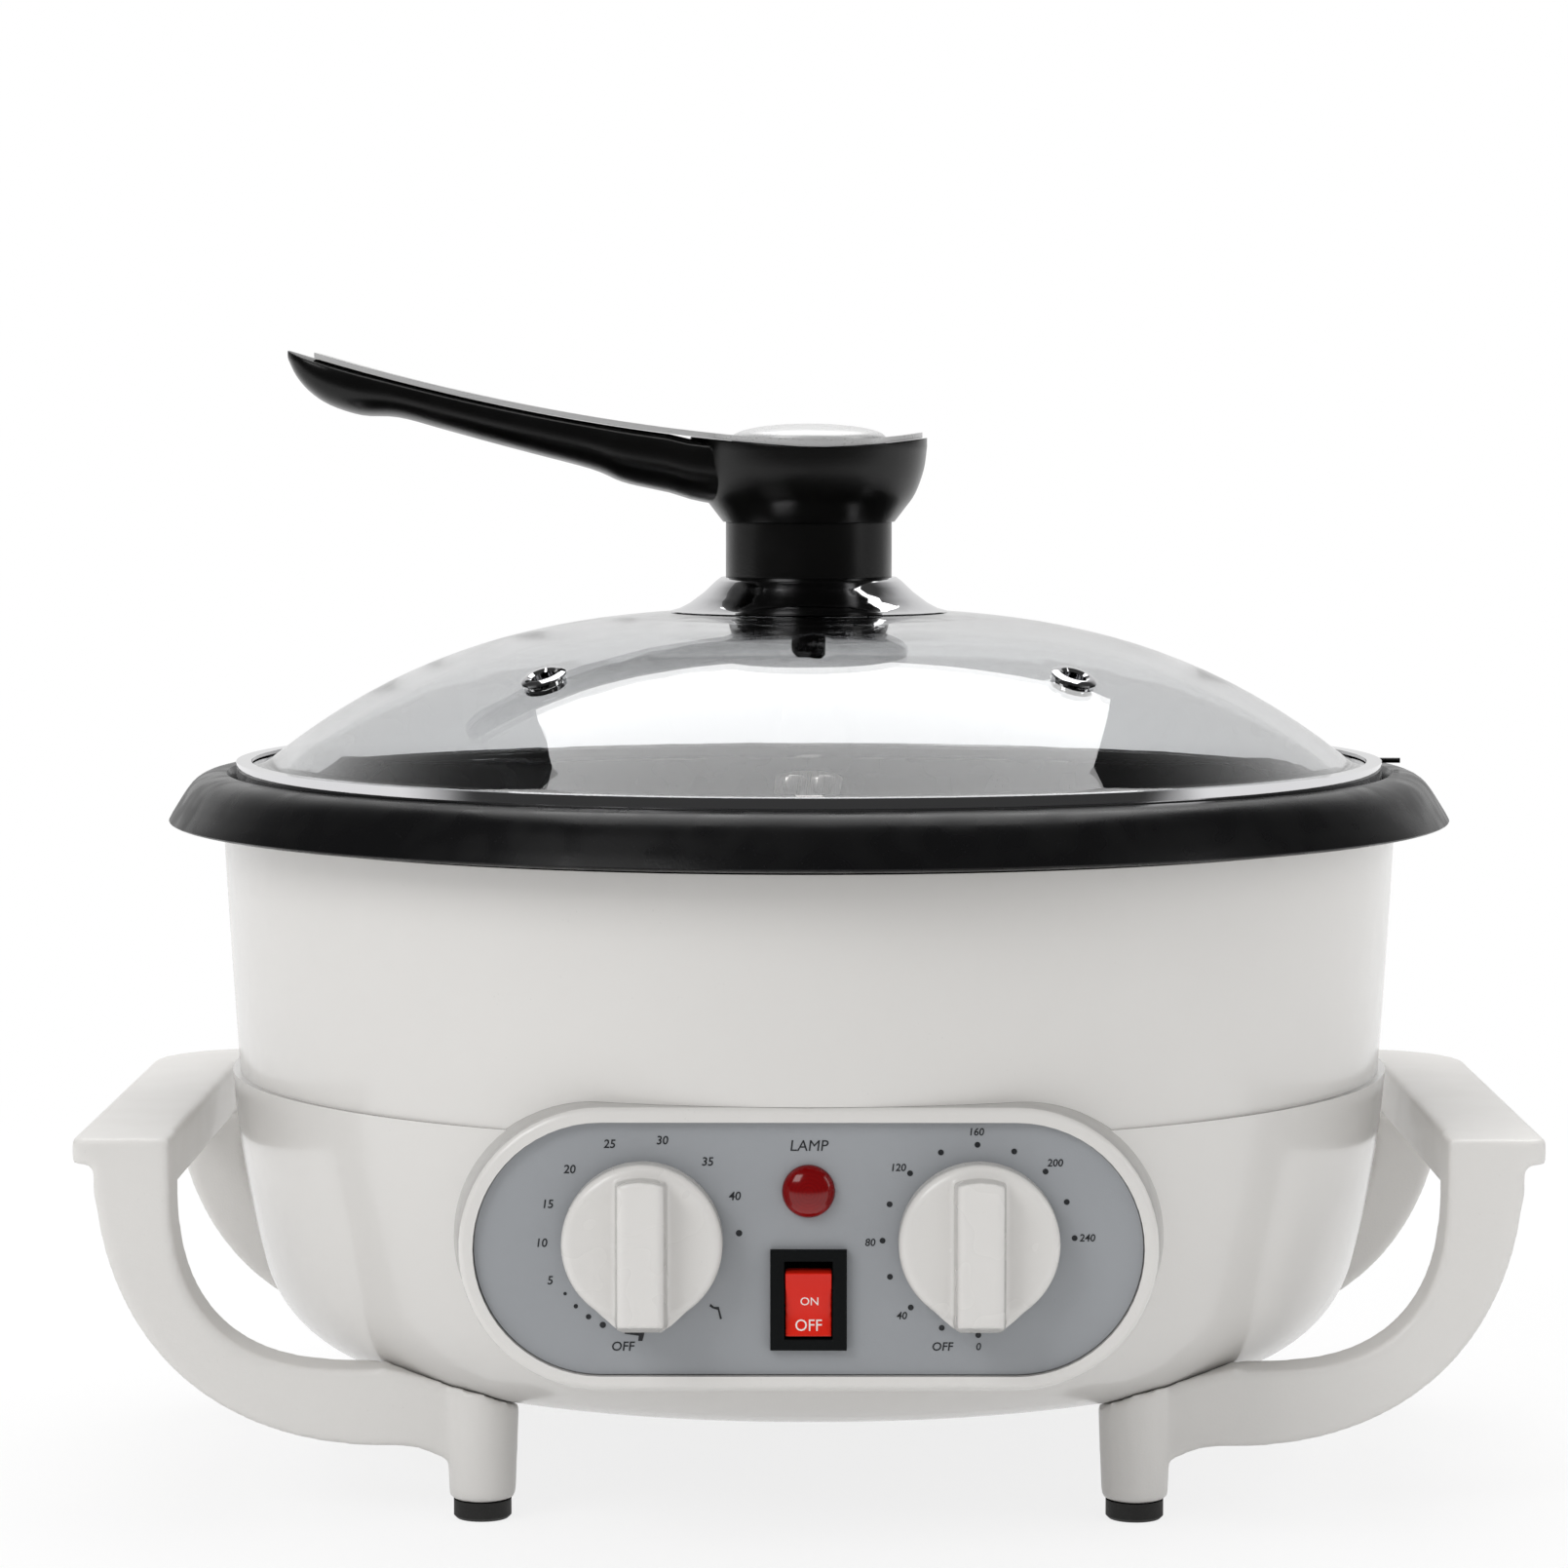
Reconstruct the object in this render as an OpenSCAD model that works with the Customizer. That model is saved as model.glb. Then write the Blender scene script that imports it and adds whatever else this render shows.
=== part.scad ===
// Countertop coffee bean roaster: a round moulded housing on two side frames, a black
// pan with a motor-driven wire stirrer, and a glass lid with a raised arm as its handle.
// Millimetres, +Z up, front towards -Y, origin on the table under the pan's axis.

/* [Housing] */
// Height of the housing's flat bottom above the table
base_z = 23; // [21:0.5:26]
// Height of the lower wall, from the flat bottom to the shoulder
lower_wall_h = 60; // [57:0.5:64]
// Height of the upper wall, from the shoulder to the top edge
upper_wall_h = 47; // [44:0.5:52]
// Radius of the lower wall at the shoulder
shoulder_r = 121.5; // [119:0.5:123]
// Radius of the housing at its top edge
top_edge_r = 124.5; // [123.5:0.5:127]
// Radius of the rounded bottom corner
corner_r = 25.6; // [20:0.2:30]
// Slope of the lower wall where it meets the rounded bottom, in degrees
lower_draft = 15; // [12:0.1:17]
// How far the lower wall stands out at each side
cheek = 1.5; // [0.5:0.1:3]
// Step of the shoulder at the front and back
shoulder_step = 0.05; // [0.05:0.05:0.5]
// Thickness of the housing wall
wall = 2.5; // [2:0.1:3]

/* [Control panel] */
// Width of the fascia
panel_w = 127.6; // [122:0.2:134]
// Height of the fascia, whose ends are half circles
panel_h = 48.4; // [44:0.2:50]
// Height of the fascia's centre above the housing's flat bottom
panel_mid_h = 39.2; // [37:0.2:42]
// How far the fascia's face lies behind the shoulder's radius
panel_set_in = 0.5; // [-0.5:0.1:1]
// Thickness of the fascia
fascia_t = 1.6; // [1:0.1:2.5]
// Width of the raised lip round the fascia
lip_w = 3; // [2:0.1:4]
// How far the lip stands above the fascia
lip_proud = 1.6; // [0.8:0.1:2.5]
// How far the pod spreads sideways where it runs into the housing
pod_flare_w = 9; // [5:0.2:11]
// Depth over which the pod runs into the housing
pod_flare_depth = 34; // [28:0.5:36]

/* [Knobs] */
// Radius of a knob
knob_r = 15.35; // [13:0.1:16.5]
// Height of a knob above its gap to the fascia
knob_h = 14.7; // [12:0.1:18]
// Height of the knob's round skirt
skirt_h = 7.6; // [5:0.1:9]
// Width of the knob's grip bar at its foot
bar_w = 10.2; // [8:0.1:12]
// Distance from the knob's axis to the pointer's end
pointer_reach = 16.4; // [15.5:0.1:18]
// How far the grip bar's lower end leans back
bar_lean = 2.2; // [0.5:0.1:3]
// Gap between a knob and the fascia
knob_gap = 0.3; // [0.2:0.05:0.6]
// Distance of the timer knob to the left of the middle
timer_x = 31.6; // [30:0.1:36]
// Distance of the thermostat knob to the right of the middle
thermostat_x = 32.4; // [30:0.1:36]
// Height of the knobs above the fascia's centre
knob_rise = 1.7; // [0:0.1:3]
// Radius of the control shafts
shaft_r = 3; // [2.5:0.1:3.5]

/* [Lamp and switch] */
// Radius of the lamp's lens
lens_r = 5.05; // [4:0.05:6]
// Height of the lens above the fascia's centre
lamp_rise = 11.1; // [10:0.1:13]
// Width of the switch flange
switch_w = 14.6; // [13:0.1:17]
// Height of the switch flange
switch_h = 19.2; // [18:0.1:21]
// Distance of the switch below the fascia's centre
switch_drop = 9.7; // [9:0.1:11]
// Width of the rocker
rocker_w = 8.8; // [7:0.1:9.5]
// Height of the rocker
rocker_h = 13.2; // [11:0.1:13.6]
// Angle between the rocker's two rest positions
rocker_throw = 20; // [12:1:24]

/* [Pan] */
// Depth of the pan below its lid ledge
pan_depth = 58.7; // [54:0.1:60]
// Thickness of the pan
pan_t = 2; // [1.5:0.1:3]
// Slope of the pan's wall from the vertical, in degrees
pan_draft = 17; // [12:0.5:20]
// Radius between the pan's floor and wall
pan_fillet = 12; // [8:0.5:16]
// Air gap between the housing and the pan's top
air_gap = 1.2; // [0.8:0.1:2]
// Width of the ledge that carries the lid
ledge_w = 3.8; // [3.4:0.1:5]
// Height of the ledge above the housing's top edge
seat_h = 12.5; // [11:0.1:15]
// Height of the rim's crest above the ledge
crest_h = 3.3; // [2:0.1:4.5]
// How far the rim reaches out past the housing's top edge
rim_overhang = 11.5; // [9:0.1:14]
// Height of the rolled rim from its widest line to its crest
rim_rise = 10; // [8:0.1:12]
// Thickness of the rolled rim
rim_t = 2.2; // [1.6:0.1:3]
// Height of the pan's middle tube above the floor
pan_tube_h = 20; // [16:0.5:20.5]

/* [Stirrer] */
// Radius of the stirrer hub
hub_r = 22; // [19:0.5:24]
// Height of the hub's top above the pan's floor
hub_top_h = 26; // [25:0.5:30]
// Gap between the hub and the pan's floor
hub_gap = 2; // [1:0.1:3]
// Radius of the drive spindle
spindle_r = 5; // [4.5:0.1:6]
// Radius of the spindle's threaded end
spindle_end_r = 4; // [3:0.1:4.2]
// Width across the flats of the hub nut
nut_af = 16.5; // [14:0.1:18]
// Height of the hub nut
nut_h = 6.5; // [5:0.1:9]
// Number of stirrer wires
wire_count = 4; // [3:1:4]
// Clearance between the wires' tips and the pan's wall
wire_tip_gap = 4.5; // [2:0.1:8]
// Radius of a stirrer wire
wire_r = 0.95; // [0.8:0.05:1.2]

/* [Scrapers] */
// Width of a scraper strip
strip_w = 6.6; // [5:0.1:8]
// Thickness of a scraper strip
strip_t = 0.9; // [0.7:0.1:1.2]
// Height of the level strip above the pan's floor
strip_h = 18.6; // [18:0.1:24]
// Distance from the axis to the strip's inner end
strip_in_r = 29.6; // [27:0.1:34]
// Distance between the two rivets of a scraper
rivet_gap = 7.2; // [6.4:0.1:8]
// Radius of a rivet's head
rivet_head_r = 2.9; // [2.2:0.1:3]
// Radius of a rivet's shank
rivet_r = 1.5; // [1:0.1:1.8]

/* [Lid] */
// Clearance between the lid band and the rim
lid_gap = 0.8; // [0.5:0.1:1.2]
// Clearance between the lid band and its ledge
lid_seat_gap = 0.3; // [0.2:0.05:0.5]
// Thickness of the glass
glass_t = 3.5; // [3:0.1:4.5]
// Thickness of the steel of the lid band
band_t = 0.7; // [0.5:0.1:1]
// Width of the band's flanges
band_flange = 3.2; // [2.6:0.1:3.6]
// Rise of the glass dome above its shoulder
dome_rise = 31.3; // [26:0.1:36]
// Height of the dome's shoulder above the glass edge
dome_shoulder_h = 1.3; // [0.8:0.1:2]
// How full the dome is: 2 is a parabola, higher is flatter on top
dome_power = 2.9; // [2:0.1:3.4]
// Distance of the steam vents from the axis
vent_at_r = 82; // [70:0.5:88]
// Angle of each steam vent from the front
vent_angle = 40.5; // [20:0.5:60]
// Radius of a vent's hole
vent_r = 2.5; // [1.5:0.1:3]
// Radius of a vent eyelet's flange
eyelet_r = 4.7; // [4.2:0.1:5.5]

/* [Lid handle] */
// Outer radius of the chrome flange under the handle
flange_r = 29.6; // [27:0.2:33]
// Height of the chrome flange above the glass
flange_h = 6.8; // [6:0.1:8.5]
// Radius of the handle's neck
neck_r = 17.7; // [16.5:0.1:19]
// Height of the neck
neck_h = 11.8; // [9:0.1:16]
// Height of the handle's head from the neck to its lowest top line
head_h = 15.8; // [15:0.1:20]
// Radius of the head at its lip
head_r = 25.2; // [24:0.1:26.5]
// Rise of the head's front lip
lip_rise = 2; // [1:0.1:3]
// Distance from the axis to the arm's tip
arm_reach = 110.5; // [106:0.5:120]
// Slope with which the arm leaves the head
arm_slope = 0.0617; // [0.04:0.001:0.08]
// Upward curve of the arm, per millimetre
arm_curve = 0.00112; // [0.0009:0.00001:0.0013]
// Width of the arm where it leaves the head
arm_w = 30; // [26:0.5:33]
// Thickness of the silver inlay
inlay_t = 1.2; // [0.8:0.1:2]
// Width of black edge left beside the inlay
inlay_inset = 1; // [0.6:0.1:2]
// Radius of the silver cap on the head
cap_r = 16.4; // [15:0.1:18]
// Height of the cap's dome
cap_dome_h = 3; // [1.5:0.1:4]
// Radius of the handle screw
lid_screw_r = 2.4; // [2:0.1:3]

/* [Side frames] */
// Gap between the housing's side and the grip
grip_gap = 4.9; // [4:0.1:8]
// Width of the grip's top plate
grip_w = 19.3; // [18:0.1:24]
// Width of the grip without its outer lip
skirt_w = 14.9; // [14:0.1:17]
// Drop of the grip's top below the shoulder
grip_drop = 6; // [4:0.5:10]
// Thickness of the grip's top plate
grip_t = 5.3; // [4:0.1:7]
// Depth of the grip's skirts below its top
grip_skirt_h = 11.8; // [10:0.1:14]
// Thickness of the grip's skirts and ribs
skirt_t = 2.4; // [2:0.1:3]
// Outer radius of the curved brackets
bracket_r = 57; // [53:0.5:59]
// Thickness of the brackets, seen from the front
bracket_t = 15.4; // [13:0.1:17]
// Width of a bracket from front to back
bracket_w = 13; // [11:0.5:14]
// Height of a bracket's underside above the table
bracket_low_z = 15; // [14:0.5:16]
// How far the frame's front face lies inside the housing's diagonal
front_set_in = 2.88; // [1:0.02:5]
// How far the rear bracket's back face lies inside the housing's diagonal
rear_set_in = 20.88; // [18:0.02:24]
// How far the grip's rear end lies inside the housing's diagonal
grip_set_in = 11.88; // [9:0.02:15]
// Radius of the grip's rear outer corner
grip_corner_r = 22; // [16:0.5:24]

/* [Legs and feet] */
// How far a leg lies inside the housing's diagonal, sideways
leg_set_in = 15.38; // [13:0.02:18]
// How far a leg's axis lies inside the bracket's outer face
leg_inset = 4; // [3:0.1:6]
// Radius of a leg at its foot
leg_r = 6.7; // [6.2:0.1:7.2]
// Radius of a leg at its top
leg_top_r = 7.4; // [7.2:0.1:8]
// Radius of a rubber foot
foot_r = 5.8; // [5:0.1:6]
// Height of a rubber foot
foot_h = 3.8; // [3:0.1:6]

/* [Inside] */
// Width of the housing's flat bottom outside the base plate
plate_margin = 13.94; // [13:0.02:16]
// Thickness of the base plate
base_plate_t = 2.2; // [1.6:0.1:2.6]
// Number of vent slots in the base plate
slot_count = 18; // [12:1:20]
// Radius of the motor's can
motor_r = 28; // [24:0.5:29]
// Height of the motor's can
motor_h = 20; // [16:0.5:20.5]
// Radius of the motor's gearbox
gearbox_r = 30; // [29.5:0.5:31]
// Height of the motor's gearbox
gearbox_h = 12; // [10:0.5:13]
// Radius of the motor's output shaft
motor_shaft_r = 3.5; // [3:0.1:4]
// Radius of the shaft coupling
coupling_r = 8; // [7:0.1:9]
// Thickness of sheet steel brackets and shields
sheet_t = 1.5; // [1:0.1:2]
// Radius of the heating ring at the middle of its tube
heater_r = 72; // [70:0.5:76]
// Radius of the heating ring's tube
heater_tube_r = 4.2; // [3.5:0.1:4.6]
// Radius of the heat shield
shield_r = 87; // [83:0.5:88]
// Distance of the tie rods from the axis
rod_at_r = 52; // [50:0.5:56]
// Radius of a tie rod
rod_r = 2; // [1.5:0.1:2.5]
// How far the cord entry stands out from the wall
entry_stand = 2.46; // [2:0.02:4.5]
// Radius of the cord entry's bore
entry_r = 3.6; // [3:0.1:4.5]
// Height of the cord entry above the flat bottom
entry_h = 22; // [20:0.5:28]

/* [Clearances] */
// Clearance between pieces that are fixed to each other
fit_gap = 0.2; // [0.1:0.05:0.3]
// Radial clearance of a shaft in its bore
run_gap = 0.05; // [0.03:0.01:0.08]
// Gap where the two halves of the housing meet in sight
seam_gap = 0.03; // [0.02:0.01:0.1]
// Clearance beside pieces that move
move_gap = 0.2; // [0.15:0.05:0.4]

/* [Hidden] */
$fn = 96;

// Finishes
white_plastic = [0.85, 0.85, 0.83];
black_plastic = [0.07, 0.07, 0.07];
panel_grey = [0.57, 0.59, 0.60];
pan_black = [0.13, 0.13, 0.14];
steel = [0.72, 0.72, 0.73];
chrome = [0.88, 0.88, 0.89];
signal_red = [0.62, 0.05, 0.04];
rocker_red = [0.83, 0.17, 0.11];
rubber_black = [0.06, 0.06, 0.06];
hub_grey = [0.28, 0.30, 0.32];
brass = [0.78, 0.62, 0.33];
glass = [0.85, 0.88, 0.90, 0.35];

// Heights
shoulder_z = base_z + lower_wall_h;
top_z = shoulder_z + upper_wall_h;
ledge_z = top_z + fit_gap + seat_h;
floor_z = ledge_z - pan_depth;
panel_z = base_z + panel_mid_h;
knob_z = panel_z + knob_rise;

// Housing: centre of the rounded bottom corner
corner_z = base_z + corner_r;
bend_z = corner_z - corner_r * sin(lower_draft);
upper_slope = (top_edge_r - shoulder_r + shoulder_step) / upper_wall_h;
function lower_slope(z) =
    upper_slope + (tan(lower_draft) - upper_slope) * (shoulder_z - z) / (shoulder_z - bend_z);
function lower_wall_r(z) =
    shoulder_r - (shoulder_z - z) * (upper_slope + lower_slope(z)) / 2;
function wall_in_r(z) = lower_wall_r(z) - wall * sqrt(1 + pow(lower_slope(z), 2));
corner_at_r = lower_wall_r(bend_z) - corner_r * cos(lower_draft);
WALL_STEPS = [for (i = [1:8]) bend_z + (shoulder_z - bend_z) * i / 8];
base_plate_r = corner_at_r - plate_margin;
base_ledge_r = base_plate_r - 6;
plate_rib_r = base_ledge_r - 4;
plate_rib_t = 1.6;
ledge_t = 2.2;
base_screw_at_r = base_plate_r - 3.2;
frame_boss_r = 5.5;
tongue_t = 2;
tongue_h = 5;
base_plate_z = base_z + fit_gap;
base_top_z = base_plate_z + base_plate_t;
boss_h = 8;
screw_r = 1.9;
screw_head_r = 3.8;
screw_head_h = 2.2;
hole_gap = 0.15;

// Panel
panel_reach = shoulder_r - panel_set_in;
panel_end_x = (panel_w - panel_h) / 2;
lip_face = panel_reach + lip_proud;
recess_y = panel_reach - fascia_t;
lip_round = 1.3;
pod_wall_y = recess_y - wall;
panel_room = 16;

// Pan
pan_mouth_r = top_edge_r - wall - air_gap - pan_t;
ledge_out_r = pan_mouth_r + ledge_w;
crest_r = ledge_out_r + 2.4;
crest_z = ledge_z + crest_h;
tip_z = crest_z - rim_rise;
rim_reach = top_edge_r + rim_overhang;
rim_foot_z = top_z - 0.8;
seat_ring_t = 2.6;
pan_tube_t = 4;
pan_boss_drop = 2.5;
function pan_wall_r(z) = pan_mouth_r - (ledge_z - z) * tan(pan_draft);
fillet_z = floor_z + pan_fillet;
fillet_at_r = pan_wall_r(fillet_z) - pan_fillet / cos(pan_draft);

// Stirrer
tube_top_z = floor_z + pan_tube_h;
hub_top_z = floor_z + hub_top_h;
hub_seat_z = tube_top_z + 1;
hub_room_r = spindle_r + pan_tube_t + 2;

// Lid
band_out_r = ledge_out_r - lid_gap;
band_z = ledge_z + lid_seat_gap;
glass_low_z = band_z + band_t + fit_gap;
glass_edge_z = glass_low_z + glass_t;
dome_r = band_out_r - band_t - fit_gap - 6.6;
dome_z = glass_edge_z + dome_shoulder_h;
dome_top_z = dome_z + dome_rise;
function dome_height(r) = dome_top_z - dome_rise * pow(r / dome_r, dome_power);
function dome_tilt(r) = atan(dome_rise * dome_power / dome_r * pow(r / dome_r, dome_power - 1));

// Handle
gasket_t = 1;
spigot_r = 12;
neck_z = dome_top_z + flange_h;
head_z = neck_z + neck_h;
saddle_z = head_z + head_h;
pocket_z = saddle_z - 2.4;
screw_top_z = head_z + 9.5;
function handle_top(x) = saddle_z
    + (x < 0 ? -arm_slope * x + arm_curve * x * x : lip_rise * pow(x / head_r, 2));

// Cord entry
entry_reach = corner_at_r + corner_r + entry_stand;

// Side frame
diagonal = 0.7 * (corner_at_r + corner_r);
frame_front = diagonal - front_set_in;
rear_bracket_y = diagonal - rear_set_in;
grip_back = diagonal - grip_set_in;
leg_x = diagonal - leg_set_in;
grip_in_x = shoulder_r + cheek + grip_gap;
skirt_out_x = grip_in_x + skirt_w;
grip_out_x = grip_in_x + grip_w;
bracket_x = skirt_out_x - bracket_r;
bracket_z = bracket_low_z + bracket_r;
grip_z = shoulder_z - grip_drop;
front_leg_y = -(frame_front - leg_inset);
rear_leg_y = rear_bracket_y - leg_inset;
LEGS = [[leg_x, front_leg_y], [leg_x, rear_leg_y], [-leg_x, front_leg_y], [-leg_x, rear_leg_y]];
frame_boss_z = base_z + boss_h;
pilot_low_z = base_z - 11;
stem_r = 2.5;
stem_h = 5.7;

// Inside
mount_h = 3;
bracket_foot_z = base_top_z + mount_h;
can_z = base_top_z + 3.2;
gearbox_z = can_z + motor_h;
bracket_top_z = gearbox_z + gearbox_h;
gearbox_boss_r = 7.5;
gearbox_boss_h = 4;
coupling_z = bracket_top_z + gearbox_boss_h + 0.6;
coupling_top_z = floor_z - pan_t - pan_boss_drop - 1;
coupling_mid_z = (coupling_z + coupling_top_z) / 2;
heater_z = floor_z - pan_t - heater_tube_r - fit_gap;
shield_z = coupling_z + 0.5;
ROD_ANGLES = [90, 210, 330];
foot_x = gearbox_r + 3 + sheet_t;
foot_w = 12;
strap_w = 26;

// Knob
// Run and rise of the skirt's flare into the pointer
flare_w = 3.7;
flare_h = 2.85;

// Switch
// Distance of the rocker's pivot behind the fascia's face
pivot_depth = 2.2;
pin_r = 1.2;

// Scrapers
scraper_top_h = 50;
wall_gap = 0.45;

// Heater clamps
CLAMP_ANGLES = [30, 90, 150];

// Wires
// Route of one wire, in hundredths of its reach: straight out of the hub, then trailing
wire_reach = pan_wall_r(floor_z + 12) - wire_tip_gap;
WIRE_COURSE = [[13, 11, 9], [21, 18, 8.5], [27, 25, 7.5], [30, 38, 5], [29, 54, 4],
    [23, 74, 4], [14, 88, 5.5], [5, 96, 9], [-3, 100, 12]];
WIRE_ROUTE = [for (p = WIRE_COURSE)
    [p[0] * wire_reach / 100, p[1] * wire_reach / 100, p[2]]];
WIRE_STEPS = 3;
wire_path = spline(WIRE_ROUTE, WIRE_STEPS);
wire_out = atan2(WIRE_ROUTE[1][1] - WIRE_ROUTE[0][1], WIRE_ROUTE[1][0] - WIRE_ROUTE[0][0]);

// Glass bore and washer
glass_bore_r = lid_screw_r + 1.6;
under_glass_z = dome_top_z - glass_t - fit_gap;
washer_r = 14.4;
washer_t = 1;

// Handle arm
// Stations along the arm: distance from the axis as a share of the reach, then the
// arm's depth and its width as a share of its width at the head
ARM = [[0.1, 13.6, 1.02], [0.19, 13.2, 1], [0.24, 12.7, 0.97], [0.3, 12.2, 0.94], [0.36, 11.6, 0.92],
    [0.42, 9.9, 0.88], [0.54, 8.8, 0.84], [0.7, 7.8, 0.8], [0.79, 7.6, 0.79], [0.86, 9.2, 0.77],
    [0.92, 9, 0.73], [0.96, 7.4, 0.64], [0.985, 5, 0.5], [1, 2.2, 0.3]];

function arc(cx, cy, rx, ry, a0, a1, n) =
    [for (i = [0:n]) let (a = a0 + (a1 - a0) * i / n) [cx + rx * cos(a), cy + ry * sin(a)]];
function full_section(p) =
    concat(p, [for (i = [len(p) - 2:-1:1]) [-p[i][0], p[i][1]]]);

// A revolved profile that is pulled apart along X, with a straight stretch between
module stretched_revolve(profile, half_len) {
    for (turn = [0, 180])
        rotate([0, 0, turn])
            translate([half_len, 0, 0])
                rotate([0, 0, -90])
                    rotate_extrude(angle = 180) polygon(profile);
    translate([-half_len, 0, 0])
        rotate([90, 0, 90])
            linear_extrude(2 * half_len) polygon(full_section(profile));
}

// Places children on the front of the panel: local Z points forward, local Y up
module on_panel(x, z, y = panel_reach) {
    translate([x, -y, z]) rotate([90, 0, 0]) children();
}

// A solid through a list of equal rings, closed by its two end rings
module loft(rings) {
    n = len(rings[0]);
    m = len(rings);
    polyhedron(
        points = [for (ring = rings) each ring],
        faces = concat(
            [[for (i = [0:n - 1]) i]],
            [for (j = [0:m - 2]) for (i = [0:n - 1])
                let (a = j * n + i, b = j * n + (i + 1) % n)
                each [[b, a, b + n], [a, a + n, b + n]]],
            [[for (i = [n - 1:-1:0]) (m - 1) * n + i]]));
}

module at_base_screws() {
    for (a = [0:60:300]) rotate([0, 0, a]) translate([base_screw_at_r, 0, 0]) children();
}

// A bore or pin along Z
module rod(r, z0, z1) {
    translate([0, 0, z0]) cylinder(r = r, h = z1 - z0);
}

// A pan-head screw along Z: head from z up, shank down to z - len
module screw(r, len, head_r, head_h) {
    rod(r, -len, 0.01);
    rotate_extrude()
        polygon(concat([[0, 0], [head_r, 0]], arc(head_r - 0.6, head_h - 0.6, 0.6, 0.6, 0, 90, 4),
            [[0, head_h]]));
}

// ---- Housing ----

function lower_profile(g) = concat(
    [[0, base_z - g]],
    arc(corner_at_r, corner_z, corner_r + g, corner_r + g, -90, -lower_draft, 14),
    [for (z = WALL_STEPS) [lower_wall_r(z) + g, z]],
    [[0, shoulder_z]]);

module housing_form(g) {
    stretched_revolve(lower_profile(g), cheek);
    rotate_extrude()
        polygon([[0, shoulder_z], [shoulder_r - shoulder_step + g, shoulder_z],
            [top_edge_r + g, top_z], [0, top_z]]);
}

module housing_cavity() {
    rotate_extrude()
        polygon(concat(
            [[0, base_z + wall]],
            arc(corner_at_r, corner_z, corner_r - wall, corner_r - wall, -90, -lower_draft, 14),
            [for (z = WALL_STEPS) [wall_in_r(z), z]],
            [[top_edge_r - wall, top_z + 0.5], [0, top_z + 0.5]]));
}

// Solid of the pod, grown by g: a rounded lip that flares back into the housing
module pod_form(g = 0) {
    lip_r = panel_h / 2 + lip_w + g;
    flare = [for (i = [0:7]) let (a = i * 10.5)
        [lip_r + pod_flare_w * (1 - cos(a)), -lip_round - pod_flare_depth * sin(a)]];
    back = flare[7][1];
    on_panel(0, panel_z, lip_face)
        stretched_revolve(concat(
            [[0, back]],
            [for (i = [7:-1:0]) flare[i]],
            arc(lip_r - lip_round - g, -lip_round, lip_round + g, lip_round + g, 0, 90, 5),
            [[0, g]]), panel_end_x);
}

module stadium(r, z0, z1) {
    stretched_revolve([[0, z0], [r, z0], [r, z1], [0, z1]], panel_end_x);
}

module panel_holes(gap) {
    on_panel(-timer_x, knob_z) rod(shaft_r + 1, -12, 3);
    on_panel(thermostat_x, knob_z) rod(shaft_r + 1, -12, 3);
    on_panel(0, panel_z + lamp_rise) rod(lens_r - 0.6 + gap, -12, 3);
    on_panel(0, panel_z - switch_drop)
        translate([-switch_w / 2 + 1 - gap, -switch_h / 2 + 1 - gap, -12])
            cube([switch_w - 2 + 2 * gap, switch_h - 2 + 2 * gap, 15]);
}

// The whole shell, before it is parted at the shoulder
module housing_shell() {
    difference() {
        union() {
            housing_form(0);
            pod_form();
            translate([0, entry_reach - 20, base_z + entry_h])
                rotate([-90, 0, 0]) cylinder(r = entry_r + 6.4, h = 20);
        }
        difference() {
            housing_cavity();
            rod(base_plate_r + fit_gap + wall, 0, base_top_z + fit_gap + ledge_t);
            for (p = LEGS)
                translate([p[0], p[1], 0]) rod(frame_boss_r, base_z, frame_boss_z);
            on_panel(0, panel_z, recess_y) stadium(panel_h / 2 + 1, -wall, 0);
        }
        on_panel(0, panel_z, pod_wall_y) stadium(panel_h / 2, -28, 0);
        on_panel(0, panel_z, recess_y) stadium(panel_h / 2 + fit_gap, 0, panel_room);
        rod(base_ledge_r, 0, shoulder_z);
        rod(base_plate_r + fit_gap, base_z - 1, base_top_z + fit_gap);
        panel_holes(hole_gap);
        translate([0, entry_reach - 24, base_z + entry_h])
            rotate([-90, 0, 0]) cylinder(r = entry_r + 2 + hole_gap, h = 30);
        for (p = LEGS)
            translate([p[0], p[1], 0]) rod(screw_r + hole_gap, base_z - 2, frame_boss_z + 1);
        at_base_screws() rod(1.3, base_z, base_top_z + 8);
    }
}

module above_shoulder(z = shoulder_z) {
    rod(top_edge_r + 30, z, top_z + 5);
}

module lower_housing() {
    color(white_plastic)
        difference() {
            housing_shell();
            difference() {
                above_shoulder();
                pod_form();
            }
        }
}

// The upper wall, with a tongue that registers it inside the lower housing
module upper_housing() {
    lower_in_r = wall_in_r(shoulder_z);
    tongue_r = wall_in_r(shoulder_z - tongue_h) - fit_gap;
    color(white_plastic)
        difference() {
            rotate_extrude()
                polygon([[shoulder_r - shoulder_step, shoulder_z], [top_edge_r, top_z],
                    [top_edge_r - wall, top_z], [lower_in_r, shoulder_z],
                    [tongue_r - tongue_t, shoulder_z + tongue_t],
                    [tongue_r - tongue_t, shoulder_z - tongue_h],
                    [tongue_r, shoulder_z - tongue_h], [lower_in_r - fit_gap, shoulder_z]]);
            pod_form(seam_gap);
            on_panel(0, panel_z, lip_face) stadium(panel_h / 2 + lip_w + seam_gap, -20, 1);
        }
}

// ---- Base plate ----

module vent_slot() {
    slot_r = 1.8;
    for (r = [46, 62]) translate([r, 0, 0]) rod(slot_r, base_plate_z - 1, base_top_z + 1);
    translate([46, -slot_r, base_plate_z - 1]) cube([16, 2 * slot_r, base_plate_t + 2]);
}

module bracket_mounts() {
    for (x = [-1, 1]) for (y = [-7, 7])
        translate([x * (foot_x + foot_w / 2), y, 0]) children();
}

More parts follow.
